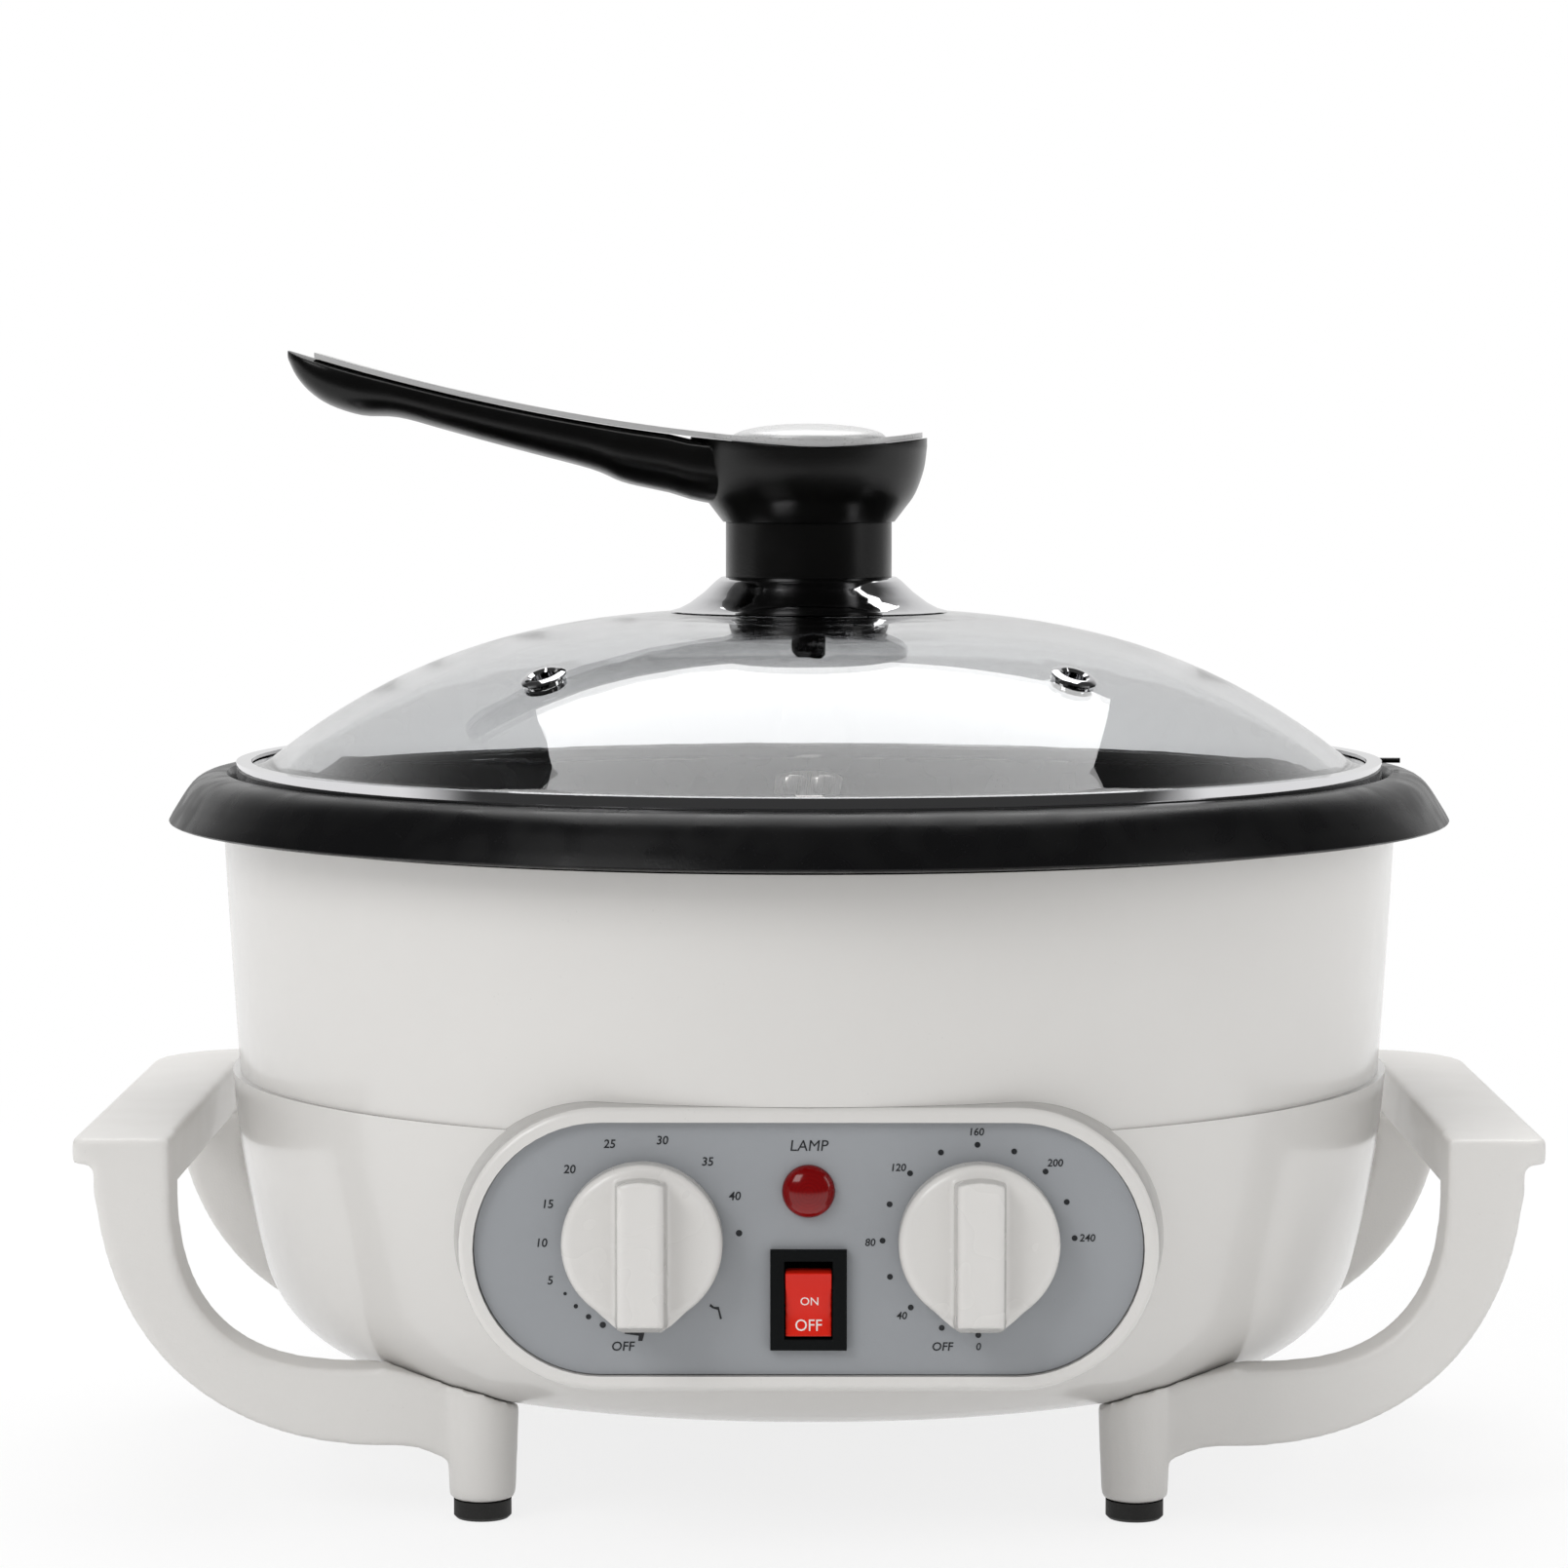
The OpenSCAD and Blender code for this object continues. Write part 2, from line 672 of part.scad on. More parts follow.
module base_plate() {
    color(white_plastic)
        difference() {
            union() {
                rod(base_plate_r, base_plate_z, base_top_z);
                bracket_mounts() rod(3.2, base_plate_z, bracket_foot_z);
                difference() {
                    rod(plate_rib_r, base_plate_z, base_top_z + plate_rib_t);
                    rod(plate_rib_r - plate_rib_t, base_plate_z - 1, base_top_z + plate_rib_t + 1);
                }
            }
            for (i = [0:slot_count - 1])
                if (abs(sin(i * 360 / slot_count)) > 0.3)
                    rotate([0, 0, i * 360 / slot_count + 10]) vent_slot();
            for (a = ROD_ANGLES)
                rotate([0, 0, a]) translate([rod_at_r, 0, 0])
                    rod(rod_r + hole_gap, base_plate_z - 1, base_top_z + 3);
            bracket_mounts() rod(1.35, base_plate_z - 1, bracket_foot_z + 1);
            at_base_screws() rod(1.7, base_plate_z - 1, base_top_z + 1);
        }
}

module base_screws() {
    color(steel)
        at_base_screws()
            translate([0, 0, base_plate_z]) mirror([0, 0, 1]) screw(1.25, 6, 2.6, 1.4);
}

// ---- Side frames ----

module leg(y) {
    round = 1.2;
    translate([leg_x, y, foot_h])
        rotate_extrude()
            polygon(concat([[0, 0]], arc(leg_r - round, round, round, round, -90, 0, 4),
                [[leg_top_r, base_z - foot_h], [leg_top_r, base_z - foot_h + 14],
                 [0, base_z - foot_h + 14]]));
}

// A curved bracket from the grip down to its leg, between y and y + bracket_w
module bracket(y) {
    in_r = bracket_r - bracket_t;
    translate([0, y + bracket_w, 0])
        rotate([90, 0, 0]) {
            intersection() {
                difference() {
                    translate([bracket_x, bracket_z, 0]) cylinder(r = bracket_r, h = bracket_w);
                    translate([bracket_x, bracket_z, -1]) cylinder(r = in_r, h = bracket_w + 2);
                }
                translate([bracket_x, 0, -1]) cube([bracket_r + 1, bracket_z, bracket_w + 2]);
            }
            translate([bracket_x + in_r, bracket_z, 0])
                cube([bracket_t, grip_z - bracket_z, bracket_w]);
            linear_extrude(bracket_w)
                polygon([[leg_x, bracket_low_z - 2.9], [leg_x + leg_r, bracket_low_z - 2.9],
                    [leg_x + leg_r + 5.5, bracket_low_z - 0.6],
                    [bracket_x - 4, bracket_low_z], [bracket_x, bracket_low_z],
                    [bracket_x, base_z + 18], [leg_x, base_z + 18]]);
        }
}

module grip() {
    front_round = 2.5;
    translate([0, 0, grip_z - grip_t])
        linear_extrude(grip_t)
            polygon(concat(
                [[grip_in_x, grip_back], [grip_in_x, -frame_front]],
                arc(grip_out_x - front_round, front_round - frame_front, front_round, front_round,
                    -90, 0, 4),
                arc(grip_out_x - grip_corner_r, grip_back - grip_corner_r,
                    grip_corner_r, grip_corner_r, 0,
                    acos((grip_in_x + 0.5 - grip_out_x + grip_corner_r) / grip_corner_r), 8)));
    span = rear_bracket_y - 1 + frame_front;
    for (x = [grip_in_x, skirt_out_x - skirt_t])
        translate([x, -frame_front, grip_z - grip_skirt_h])
            cube([skirt_t, span, grip_skirt_h - 0.5]);
    for (i = [1:3])
        translate([grip_in_x + 0.5, bracket_w - frame_front + i * (span - bracket_w) / 4.4,
            grip_z - grip_skirt_h + 2])
            cube([skirt_w - 1, skirt_t, grip_skirt_h - 3]);
}

module side_frame() {
    color(white_plastic)
        difference() {
            union() {
                grip();
                bracket(-frame_front);
                bracket(rear_bracket_y - bracket_w);
                leg(front_leg_y);
                leg(rear_leg_y);
            }
            housing_form(fit_gap);
            for (y = [front_leg_y, rear_leg_y])
                translate([leg_x, y, 0]) {
                    rod(screw_r + run_gap, pilot_low_z, shoulder_z);
                    rod(stem_r + hole_gap, foot_h - 1, foot_h + stem_h + 0.5);
                }
        }
}

module right_side_frame() {
    side_frame();
}

module left_side_frame() {
    mirror([1, 0, 0]) side_frame();
}

module frame_screws() {
    color(steel)
        for (p = LEGS)
            translate([p[0], p[1], frame_boss_z])
                screw(screw_r, frame_boss_z - pilot_low_z - 0.5, screw_head_r, screw_head_h);
}

module rubber_feet() {
    color(rubber_black)
        for (p = LEGS)
            translate([p[0], p[1], 0])
                rotate_extrude()
                    polygon([[0, 0], [foot_r - 0.6, 0], [foot_r, 0.6], [foot_r, foot_h],
                        [stem_r, foot_h], [stem_r, foot_h + stem_h], [0, foot_h + stem_h]]);
}

// ---- Control panel ----

module control_panel() {
    color(panel_grey)
        difference() {
            on_panel(0, panel_z, recess_y) stadium(panel_h / 2, 0, fascia_t);
            panel_holes(0);
        }
}

module indicator_lens() {
    color(signal_red)
        on_panel(0, panel_z + lamp_rise)
            rotate_extrude()
                polygon(concat(
                    [[0, -fascia_t - wall - 5], [lens_r - 0.8, -fascia_t - wall - 5],
                     [lens_r - 0.8, 0], [lens_r, 0], [lens_r, 0.6]],
                    arc(0, 0.6, lens_r, 2.9, 10, 90, 8)));
}

module indicator_body() {
    back = -fascia_t - wall;
    color(black_plastic)
        on_panel(0, panel_z + lamp_rise)
            difference() {
                union() {
                    rod(lens_r + 2, back - 14, back - fit_gap);
                    for (x = [-1.8, 1.2]) translate([x, -1.5, back - 20]) cube([0.6, 3, 7]);
                }
                rod(lens_r - 0.8 + hole_gap, back - 5.5, back);
            }
}

module switch_bezel() {
    back = -fascia_t - wall;
    room_h = rocker_h / 2 + 0.9;
    color(black_plastic)
        on_panel(0, panel_z - switch_drop)
            difference() {
                union() {
                    translate([-switch_w / 2, -switch_h / 2, 0]) cube([switch_w, switch_h, 1.8]);
                    translate([-switch_w / 2 + 1.2, -switch_h / 2 + 1.2, back - 13])
                        cube([switch_w - 2.4, switch_h - 2.4, 13.1 - back]);
                    for (y = [-5.5, 0, 5.5])
                        translate([-2.4, y - 0.4, back - 20]) cube([4.8, 0.8, 7.1]);
                }
                translate([-rocker_w / 2 - move_gap, -room_h, back - 5])
                    cube([rocker_w + 2 * move_gap, 2 * room_h, 20]);
                translate([0, 0, -pivot_depth])
                    rotate([0, 90, 0])
                        translate([0, 0, -rocker_w / 2 - 1.2])
                            cylinder(r = pin_r + run_gap, h = rocker_w + 2.4);
            }
}

// At rest the lower half is pressed in
module switch_rocker() {
    half = rocker_h / 2 - 0.2;
    color(rocker_red)
        on_panel(0, panel_z - switch_drop)
            translate([0, 0, -pivot_depth])
                rotate([rocker_throw / 2, 0, 0]) {
                    rotate([90, 0, 90])
                        translate([0, 0, -rocker_w / 2])
                            linear_extrude(rocker_w)
                                polygon(concat(
                                    [for (i = [-6:6]) let (v = half * i / 6)
                                        [v, 3.1 + 1.5 * pow(v / half, 2)]],
                                    [[half - 0.8, -1], [0, -4], [0.8 - half, -1]]));
                    rotate([0, 90, 0])
                        translate([0, 0, -rocker_w / 2 - 1])
                            cylinder(r = pin_r, h = rocker_w + 2);
                }
}

module control_body(w, h, depth) {
    back = -fascia_t - wall - fit_gap;
    difference() {
        union() {
            translate([-w / 2, -h / 2, back - depth]) cube([w, h, depth - 1]);
            translate([-w / 2 + 2, -h / 2 + 2, back - 1.2]) cube([w - 4, h - 4, 1.2]);
            for (x = [-w / 4, w / 4])
                translate([x - 2.4, h / 2 - 6, back - depth - 6]) cube([4.8, 0.8, 6.5]);
        }
        rod(shaft_r + run_gap, back - 10, 0);
    }
}

module timer_body() {
    color(steel) on_panel(-timer_x, knob_z) control_body(37, 30, 25);
}

module thermostat_body() {
    color(black_plastic) on_panel(thermostat_x, knob_z) control_body(33, 30, 21);
}

module control_shaft() {
    back = -fascia_t - wall - fit_gap;
    rod(shaft_r, back - 9.7, knob_gap + 8);
}

module timer_shaft() {
    color(steel) on_panel(-timer_x, knob_z) control_shaft();
}

module thermostat_shaft() {
    color(steel) on_panel(thermostat_x, knob_z) control_shaft();
}

// The pointer is at the bottom at rest
module knob() {
    bar_top = knob_gap + knob_h;
    skirt_top = knob_gap + skirt_h;
    color(white_plastic)
        difference() {
            union() {
                rotate_extrude()
                    polygon(concat(
                        [[0, knob_gap], [knob_r - 0.8, knob_gap], [knob_r, knob_gap + 0.8]],
                        arc(knob_r - 1.8, skirt_top - 1.8, 1.8, 1.8, 0, 90, 6),
                        [[0, skirt_top]]));
                translate([0, 0, knob_gap + 0.4])
                    linear_extrude(skirt_h - 1.4)
                        polygon([[-bar_w / 2 - flare_w, flare_h - knob_r],
                            [-bar_w / 2 - 0.1, -knob_r - 0.4],
                            [1.2 - bar_w / 2, -pointer_reach], [bar_w / 2 - 1.2, -pointer_reach],
                            [bar_w / 2 + 0.1, -knob_r - 0.4],
                            [bar_w / 2 + flare_w, flare_h - knob_r]]);
                intersection() {
                    translate([0, knob_r, 0])
                        rotate([90, 0, 0])
                            linear_extrude(knob_r + pointer_reach)
                                polygon([[-bar_w / 2, skirt_top - 1.2], [bar_w / 2, skirt_top - 1.2],
                                    [bar_w / 2 - 0.7, bar_top - 1], [bar_w / 2 - 1.7, bar_top],
                                    [1.7 - bar_w / 2, bar_top], [0.7 - bar_w / 2, bar_top - 1]]);
                    translate([0, 0, skirt_top - 2])
                        linear_extrude(knob_h)
                            polygon(concat(
                                arc(0, 0, knob_r - 2.2, knob_r - 2.2, 50, 130, 8),
                                [[-bar_w, 0], [-bar_w / 2, 1.5 - pointer_reach],
                                 [1.2 - bar_w / 2, -pointer_reach], [bar_w / 2 - 1.2, -pointer_reach],
                                 [bar_w / 2, 1.5 - pointer_reach], [bar_w, 0]]));
                    rotate([90, 0, 90])
                        translate([0, 0, -bar_w])
                            linear_extrude(2 * bar_w)
                                polygon([[-pointer_reach - 0.1, skirt_top - 3],
                                    [-pointer_reach - 0.1, skirt_top],
                                    [bar_lean - pointer_reach, bar_top + 0.1],
                                    [knob_r, bar_top + 0.1], [knob_r, skirt_top - 3]]);
                }
            }
            rod(shaft_r + run_gap, 0, knob_gap + 8.4);
            translate([-0.25, -knob_r + 1.6, bar_top - 0.3]) cube([0.5, 4, 1]);
        }
}

module timer_knob() {
    on_panel(-timer_x, knob_z) knob();
}

module thermostat_knob() {
    on_panel(thermostat_x, knob_z) knob();
}

// ---- Pan ----

module pan_profile() {
    wall_out = pan_t / cos(pan_draft);
    ring_out = top_edge_r + 0.3;
    ring_in = ring_out - seat_ring_t;
    lip_in = top_edge_r + 0.9;
    web_z = ledge_z - pan_t;
    polygon(concat(
        [[spindle_r + run_gap, floor_z - pan_t - pan_boss_drop],
         [spindle_r + run_gap, tube_top_z], [spindle_r + pan_tube_t, tube_top_z],
         [spindle_r + pan_tube_t, floor_z]],
        arc(fillet_at_r, fillet_z, pan_fillet, pan_fillet, -90, -pan_draft, 8),
        [[pan_mouth_r, ledge_z], [ledge_out_r, ledge_z], [ledge_out_r + 0.5, ledge_z + 2]],
        arc(crest_r, tip_z, rim_reach - crest_r, rim_rise, 96, 0, 12),
        arc(lip_in, tip_z, rim_reach - lip_in, tip_z - rim_foot_z, -10, -88, 8),
        [[lip_in, rim_foot_z + rim_t]],
        arc(lip_in, tip_z, rim_reach - rim_t - lip_in, tip_z - rim_foot_z - rim_t, -75, -5, 7),
        arc(crest_r, tip_z, rim_reach - rim_t - crest_r, rim_rise - rim_t, 5, 88, 8),
        [[ring_out, web_z + 0.6], [ring_out, top_z + fit_gap], [ring_in, top_z + fit_gap],
         [ring_in, web_z], [pan_wall_r(web_z) + wall_out, web_z]],
        arc(fillet_at_r, fillet_z, pan_fillet + pan_t, pan_fillet + pan_t, -pan_draft, -90, 8),
        [[spindle_r + 6, floor_z - pan_t], [spindle_r + 6, floor_z - pan_t - pan_boss_drop]]));
}

// Plane of the pan's wall at one height: local Z points at the axis, local Y up the wall
module on_pan_wall(h) {
    translate([0, -pan_wall_r(floor_z + h), floor_z + h])
        rotate([90 + pan_draft, 0, 0]) rotate([0, 180, 0]) mirror([1, 0, 0]) children();
}

module rivet_places() {
    for (turn = [0, 180]) rotate([0, 0, turn])
        for (x = [-rivet_gap / 2, rivet_gap / 2])
            on_pan_wall(scraper_top_h) translate([x, 0, 0]) children();
}

module roasting_pan() {
    color(pan_black)
        difference() {
            union() {
                rotate_extrude() pan_profile();
                for (a = ROD_ANGLES)
                    rotate([0, 0, a]) translate([rod_at_r, 0, 0])
                        rod(5, floor_z - pan_t - 4, floor_z - pan_t / 2);
            }
            for (a = ROD_ANGLES)
                rotate([0, 0, a]) translate([rod_at_r, 0, 0])
                    rod(rod_r + run_gap, floor_z - pan_t - 5, floor_z - pan_t);
            rivet_places() rod(rivet_r + run_gap, -pan_t - 2, 2);
        }
}

// A flat paddle on the wall, then a strip that bends inwards and runs level to the hub
module scraper() {
    bend_z = floor_z + 28;
    strip_z = floor_z + strip_h;
    paddle_z = floor_z + scraper_top_h;
    bend_r = pan_wall_r(bend_z) - wall_gap / cos(pan_draft);
    top_r = bend_r + 30 * tan(pan_draft);
    skin = strip_t / cos(pan_draft);
    color(steel)
        difference() {
            intersection() {
                translate([-12, 0, 0])
                    rotate([90, 0, 90])
                        linear_extrude(24)
                            polygon([[-top_r, bend_z + 30], [skin - top_r, bend_z + 30],
                                [skin - bend_r, bend_z], [skin + 1.2 - bend_r, bend_z - 2.5],
                                [skin + 9.6 - bend_r, strip_z + strip_t],
                                [-strip_in_r, strip_z + strip_t], [-strip_in_r, strip_z],
                                [9.9 - bend_r, strip_z], [0.9 - bend_r, bend_z - 3.2],
                                [-bend_r, bend_z]]);
                rotate([90, 0, 0])
                    linear_extrude(pan_mouth_r)
                        polygon(concat(
                            [[strip_w / 2, strip_z - 1], [strip_w / 2, paddle_z - 8.6]],
                            arc(2.7, paddle_z, 5.4, 5.4, -35, 90, 8),
                            arc(-2.7, paddle_z, 5.4, 5.4, 90, 215, 8),
                            [[-strip_w / 2, paddle_z - 8.6], [-strip_w / 2, strip_z - 1]]));
            }
            on_pan_wall(scraper_top_h)
                for (x = [-rivet_gap / 2, rivet_gap / 2])
                    translate([x, 0, 0]) rod(rivet_r + run_gap, 0, 3);
        }
}

module front_scraper() {
    scraper();
}

module rear_scraper() {
    rotate([0, 0, 180]) scraper();
}

module scraper_rivets() {
    color(steel)
        rivet_places()
            rotate_extrude()
                polygon(concat(
                    [[0, -pan_t - 1.2], [rivet_head_r - 0.3, -pan_t - 1.2],
                     [rivet_head_r - 0.3, -pan_t - 0.25],
                     [rivet_r, -pan_t - 0.25], [rivet_r, wall_gap + strip_t + 0.05]],
                    arc(0, wall_gap + strip_t + 0.05, rivet_head_r, 1.1, 0, 90, 6)));
}

// ---- Heating and drive ----

module heating_ring() {
    gap_angle = 14;
    color(steel)
        translate([0, 0, heater_z]) {
            rotate([0, 0, gap_angle - 90])
                rotate_extrude(angle = 360 - 2 * gap_angle)
                    translate([heater_r, 0]) circle(r = heater_tube_r);
            for (a = [gap_angle, -gap_angle])
                rotate([0, 0, a - 90 + sign(a) * 3]) translate([heater_r, 0, 0]) rod(1.8, -18, 0);
        }
}

module heater_clamps() {
    top = floor_z - pan_t - fit_gap;
    low = heater_z - heater_tube_r - fit_gap;
    in_r = heater_r - heater_tube_r - fit_gap;
    out_r = heater_r + heater_tube_r + fit_gap;
    color(steel)
        for (a = CLAMP_ANGLES)
            rotate([0, 0, a]) translate([0, 5, 0])
                rotate([90, 0, 0])
                    linear_extrude(10)
                        polygon([[in_r - 7, top], [in_r - 7, top - 1], [in_r - 1, top - 1],
                            [in_r - 1, low - 1], [out_r + 1, low - 1], [out_r + 1, top - 1],
                            [out_r + 6, top - 1], [out_r + 6, top], [out_r, top],
                            [out_r, low], [in_r, low], [in_r, top]]);
}

module heat_shield() {
    color(steel)
        difference() {
            rotate_extrude()
                polygon([[coupling_r + 3, shield_z], [shield_r - 4, shield_z], [shield_r, shield_z + 4],
                    [shield_r - 0.8, shield_z + 4.6], [shield_r - 4.4, shield_z + 0.8],
                    [coupling_r + 3, shield_z + 0.8]]);
            for (a = ROD_ANGLES)
                rotate([0, 0, a]) translate([rod_at_r, 0, 0])
                    rod(rod_r + hole_gap, shield_z - 1, shield_z + 2);
            for (a = [17, -17])
                rotate([0, 0, a - 90]) translate([heater_r, 0, 0])
                    rod(4, shield_z - 1, shield_z + 2);
        }
}

module thermal_cutoff() {
    top = floor_z - pan_t - fit_gap;
    color(steel)
        translate([-30, 38, 0]) {
            rod(9.5, top - 0.8, top);
            rod(7, top - 5.5, top - 0.8);
            for (x = [-3, 3]) translate([x - 0.4, -2.4, top - 10]) cube([0.8, 4.8, 5]);
        }
}

module tie_rods() {
    color(steel)
        for (a = ROD_ANGLES)
            rotate([0, 0, a]) translate([rod_at_r, 0, 0]) {
                rod(rod_r, base_plate_z - 0.1, floor_z - pan_t - 0.5);
                rod(rod_r + 2, shield_z - 1.6, shield_z - 0.1);
                translate([0, 0, base_plate_z - 2.4]) cylinder(r = 4, h = 2.35, $fn = 6);
            }
}

module motor_can() {
    color(steel)
        rotate_extrude()
            polygon([[0, can_z], [motor_r - 2, can_z], [motor_r, can_z + 2],
                [motor_r, gearbox_z], [0, gearbox_z]]);
}

module gearbox_screw_places() {
    for (x = [-20, 20]) translate([x, 0, bracket_top_z + sheet_t + 0.1]) children();
}

module motor_gearbox() {
    color(hub_grey)
        difference() {
            union() {
                rod(gearbox_r, gearbox_z + 0.05, bracket_top_z - 0.1);
                rod(gearbox_boss_r, gearbox_z + 1, bracket_top_z + gearbox_boss_h);
            }
            rod(motor_shaft_r + run_gap, gearbox_z + 4, coupling_z);
            gearbox_screw_places() rod(1.55 + run_gap, -8, 0);
        }
}

// A steel strap over the gearbox, with a foot on each side
module motor_bracket() {
    top = bracket_top_z + sheet_t;
    in_x = gearbox_r + 3;
    color(steel)
        difference() {
            translate([0, strap_w / 2, 0])
                rotate([90, 0, 0])
                    linear_extrude(strap_w)
                        polygon([[-foot_x - foot_w, bracket_foot_z],
                            [-foot_x - foot_w, bracket_foot_z + sheet_t],
                            [-foot_x, bracket_foot_z + sheet_t], [-foot_x, top], [foot_x, top],
                            [foot_x, bracket_foot_z + sheet_t],
                            [foot_x + foot_w, bracket_foot_z + sheet_t],
                            [foot_x + foot_w, bracket_foot_z], [in_x, bracket_foot_z],
                            [in_x, bracket_top_z], [-in_x, bracket_top_z],
                            [-in_x, bracket_foot_z]]);
            rod(gearbox_boss_r + hole_gap, bracket_top_z - 1, top + 1);
            gearbox_screw_places() rod(1.7, -3, 1);
            bracket_mounts() rod(1.7, bracket_foot_z - 1, bracket_foot_z + 3);
        }
}

module motor_screws() {
    color(steel) {
        gearbox_screw_places() screw(1.55, 7.5, 2.8, 1.7);
        bracket_mounts()
            translate([0, 0, bracket_foot_z + sheet_t + 0.05]) screw(1.3, 6, 2.8, 1.7);
    }
}

module motor_shaft() {
    color(steel) rod(motor_shaft_r, gearbox_z + 4.5, coupling_mid_z - 0.4);
}

module shaft_coupling() {
    color(black_plastic)
        difference() {
            rod(coupling_r, coupling_z, coupling_top_z);
            rod(motor_shaft_r + run_gap, coupling_z - 1, coupling_mid_z - 0.2);
            rod(spindle_r + run_gap, coupling_mid_z + 0.2, coupling_top_z + 1);
        }
}

module drive_spindle() {
    color(steel) {
        rod(spindle_r, coupling_mid_z + 0.4, hub_seat_z);
        rod(spindle_end_r, hub_seat_z - 0.5, hub_top_z + nut_h - 2.4);
    }
}

function spline_at(p, i, t) =
    let (a = p[max(i - 1, 0)], b = p[i], c = p[i + 1], d = p[min(i + 2, len(p) - 1)])
    0.5 * (2 * b + (c - a) * t + (2 * a - 5 * b + 4 * c - d) * t * t
        + (3 * b - a - 3 * c + d) * t * t * t);
function spline(p, n) = concat(
    [for (i = [0:len(p) - 2]) for (k = [0:n - 1]) spline_at(p, i, k / n)],
    [p[len(p) - 1]]);
function unit(v) = v / norm(v);
function sweep_rings(path, r, sides) =
    [for (i = [0:len(path) - 1])
        let (t = unit(path[min(i + 1, len(path) - 1)] - path[max(i - 1, 0)]),
             u = unit(cross([0, 0, 1], t)),
             v = cross(t, u))
        [for (k = [0:sides - 1]) let (a = 360 * k / sides)
            path[i] + r * cos(a) * u + r * sin(a) * v]];

module stirrer_wires() {
    color(steel)
        for (k = [0:wire_count - 1])
            rotate([0, 0, k * 360 / wire_count])
                translate([0, 0, floor_z]) loft(sweep_rings(wire_path, wire_r, 8));
}

module stirrer_hub() {
    color(hub_grey)
        difference() {
            rotate_extrude()
                polygon([[spindle_end_r + run_gap, hub_seat_z + 0.1],
                    [spindle_end_r + run_gap, hub_top_z], [hub_r - 5, hub_top_z],
                    [hub_r - 1.5, hub_top_z - 1.6], [hub_r, hub_top_z - 4],
                    [hub_r, floor_z + hub_gap + 1], [hub_r - 1, floor_z + hub_gap],
                    [hub_room_r, floor_z + hub_gap], [hub_room_r, hub_seat_z + 0.1]]);
            for (k = [0:wire_count - 1])
                rotate([0, 0, k * 360 / wire_count])
                    translate(WIRE_ROUTE[0] + [0, 0, floor_z])
                        rotate([0, 0, wire_out]) rotate([0, 92.5, 0])
                            translate([0, 0, -0.6]) cylinder(r = wire_r + 0.25, h = 12);
        }
}

module hub_nut() {
    nut_r = nut_af / 2 / cos(30);
    color(hub_grey)
        difference() {
            intersection() {
                translate([0, 0, hub_top_z + 0.05]) cylinder(r = nut_r, h = nut_h, $fn = 6);
                rotate_extrude()
                    polygon([[0, hub_top_z], [nut_r + 1, hub_top_z],
                        [nut_r + 1, hub_top_z + nut_h - 1.6], [nut_r - 1.6, hub_top_z + nut_h],
                        [0, hub_top_z + nut_h]]);
            }
            rod(spindle_end_r + run_gap, hub_top_z - 1, hub_top_z + nut_h - 2);
        }
}

module cord_bushing() {
    color(black_plastic)
        translate([0, entry_reach, base_z + entry_h])
            rotate([-90, 0, 0])
                difference() {
                    union() {
                        rotate_extrude()
                            polygon([[0, 0.1], [entry_r + 4, 0.1], [entry_r + 4, 1.6],
                                [entry_r + 2.6, 2.6], [0, 2.6]]);
                        rod(entry_r + 2, -10, 1);
                    }
                    rod(entry_r, -11, 4);
                }
}

// ---- Lid ----

function dome_outer(n, r0) =
    [for (i = [0:n]) let (r = r0 + (dome_r - r0) * i / n) [r, dome_height(r)]];
function dome_inner(n, r0) =
    [for (i = [n:-1:0]) let (r = r0 + (dome_r - r0) * i / n, a = dome_tilt(r))
        [r - glass_t * sin(a), dome_height(r) - glass_t * cos(a)]];

module at_vents() {
    for (side = [-1, 1])
        rotate([0, 0, side * vent_angle - 90])
            translate([vent_at_r, 0, dome_height(vent_at_r)])
                rotate([0, dome_tilt(vent_at_r), 0]) children();
}

module glass_dome() {
    edge_r = band_out_r - band_t - fit_gap;
    color(glass)
        difference() {
            rotate_extrude()
                polygon(concat(
                    [[glass_bore_r, dome_top_z]],
                    dome_outer(22, glass_bore_r + 2),
                    [[dome_r + 1.5, glass_edge_z + 0.35], [dome_r + 3.2, glass_edge_z],
                     [edge_r, glass_edge_z], [edge_r, glass_low_z],
                     [dome_r + 1.6, glass_low_z], [dome_r + 0.4, glass_low_z + 0.4]],
                    dome_inner(22, glass_bore_r + 2),
                    [[glass_bore_r, dome_top_z - glass_t]]));
            at_vents() rod(vent_r + 1 + hole_gap, -glass_t - 3, 3);
        }
}

module lid_band() {
    low = band_z;
    high = glass_edge_z + fit_gap + band_t;
    in_r = band_out_r - band_flange;
    color(chrome)
        rotate_extrude()
            polygon([[in_r, low], [band_out_r, low], [band_out_r, high], [in_r, high],
                [in_r, high - band_t], [band_out_r - band_t, high - band_t],
                [band_out_r - band_t, low + band_t], [in_r, low + band_t]]);
}

module lid_pin() {
    color(black_plastic)
        translate([band_out_r + 0.05, 0, glass_edge_z + fit_gap])
            rotate([0, 90, 0]) cylinder(r = 0.55, h = 4.6, $fn = 24);
}

module vent_eyelets() {
    color(chrome)
        at_vents()
            rotate_extrude()
                polygon([[vent_r, -glass_t - 0.75], [eyelet_r - 0.4, -glass_t - 0.75],
                    [eyelet_r - 0.4, -glass_t - 0.15], [vent_r + 1, -glass_t - 0.15],
                    [vent_r + 1, 0.15], [eyelet_r, 0.15], [eyelet_r, 0.6],
                    [eyelet_r - 0.7, 1.05], [vent_r + 0.6, 1.05], [vent_r, 0.5]]);
}

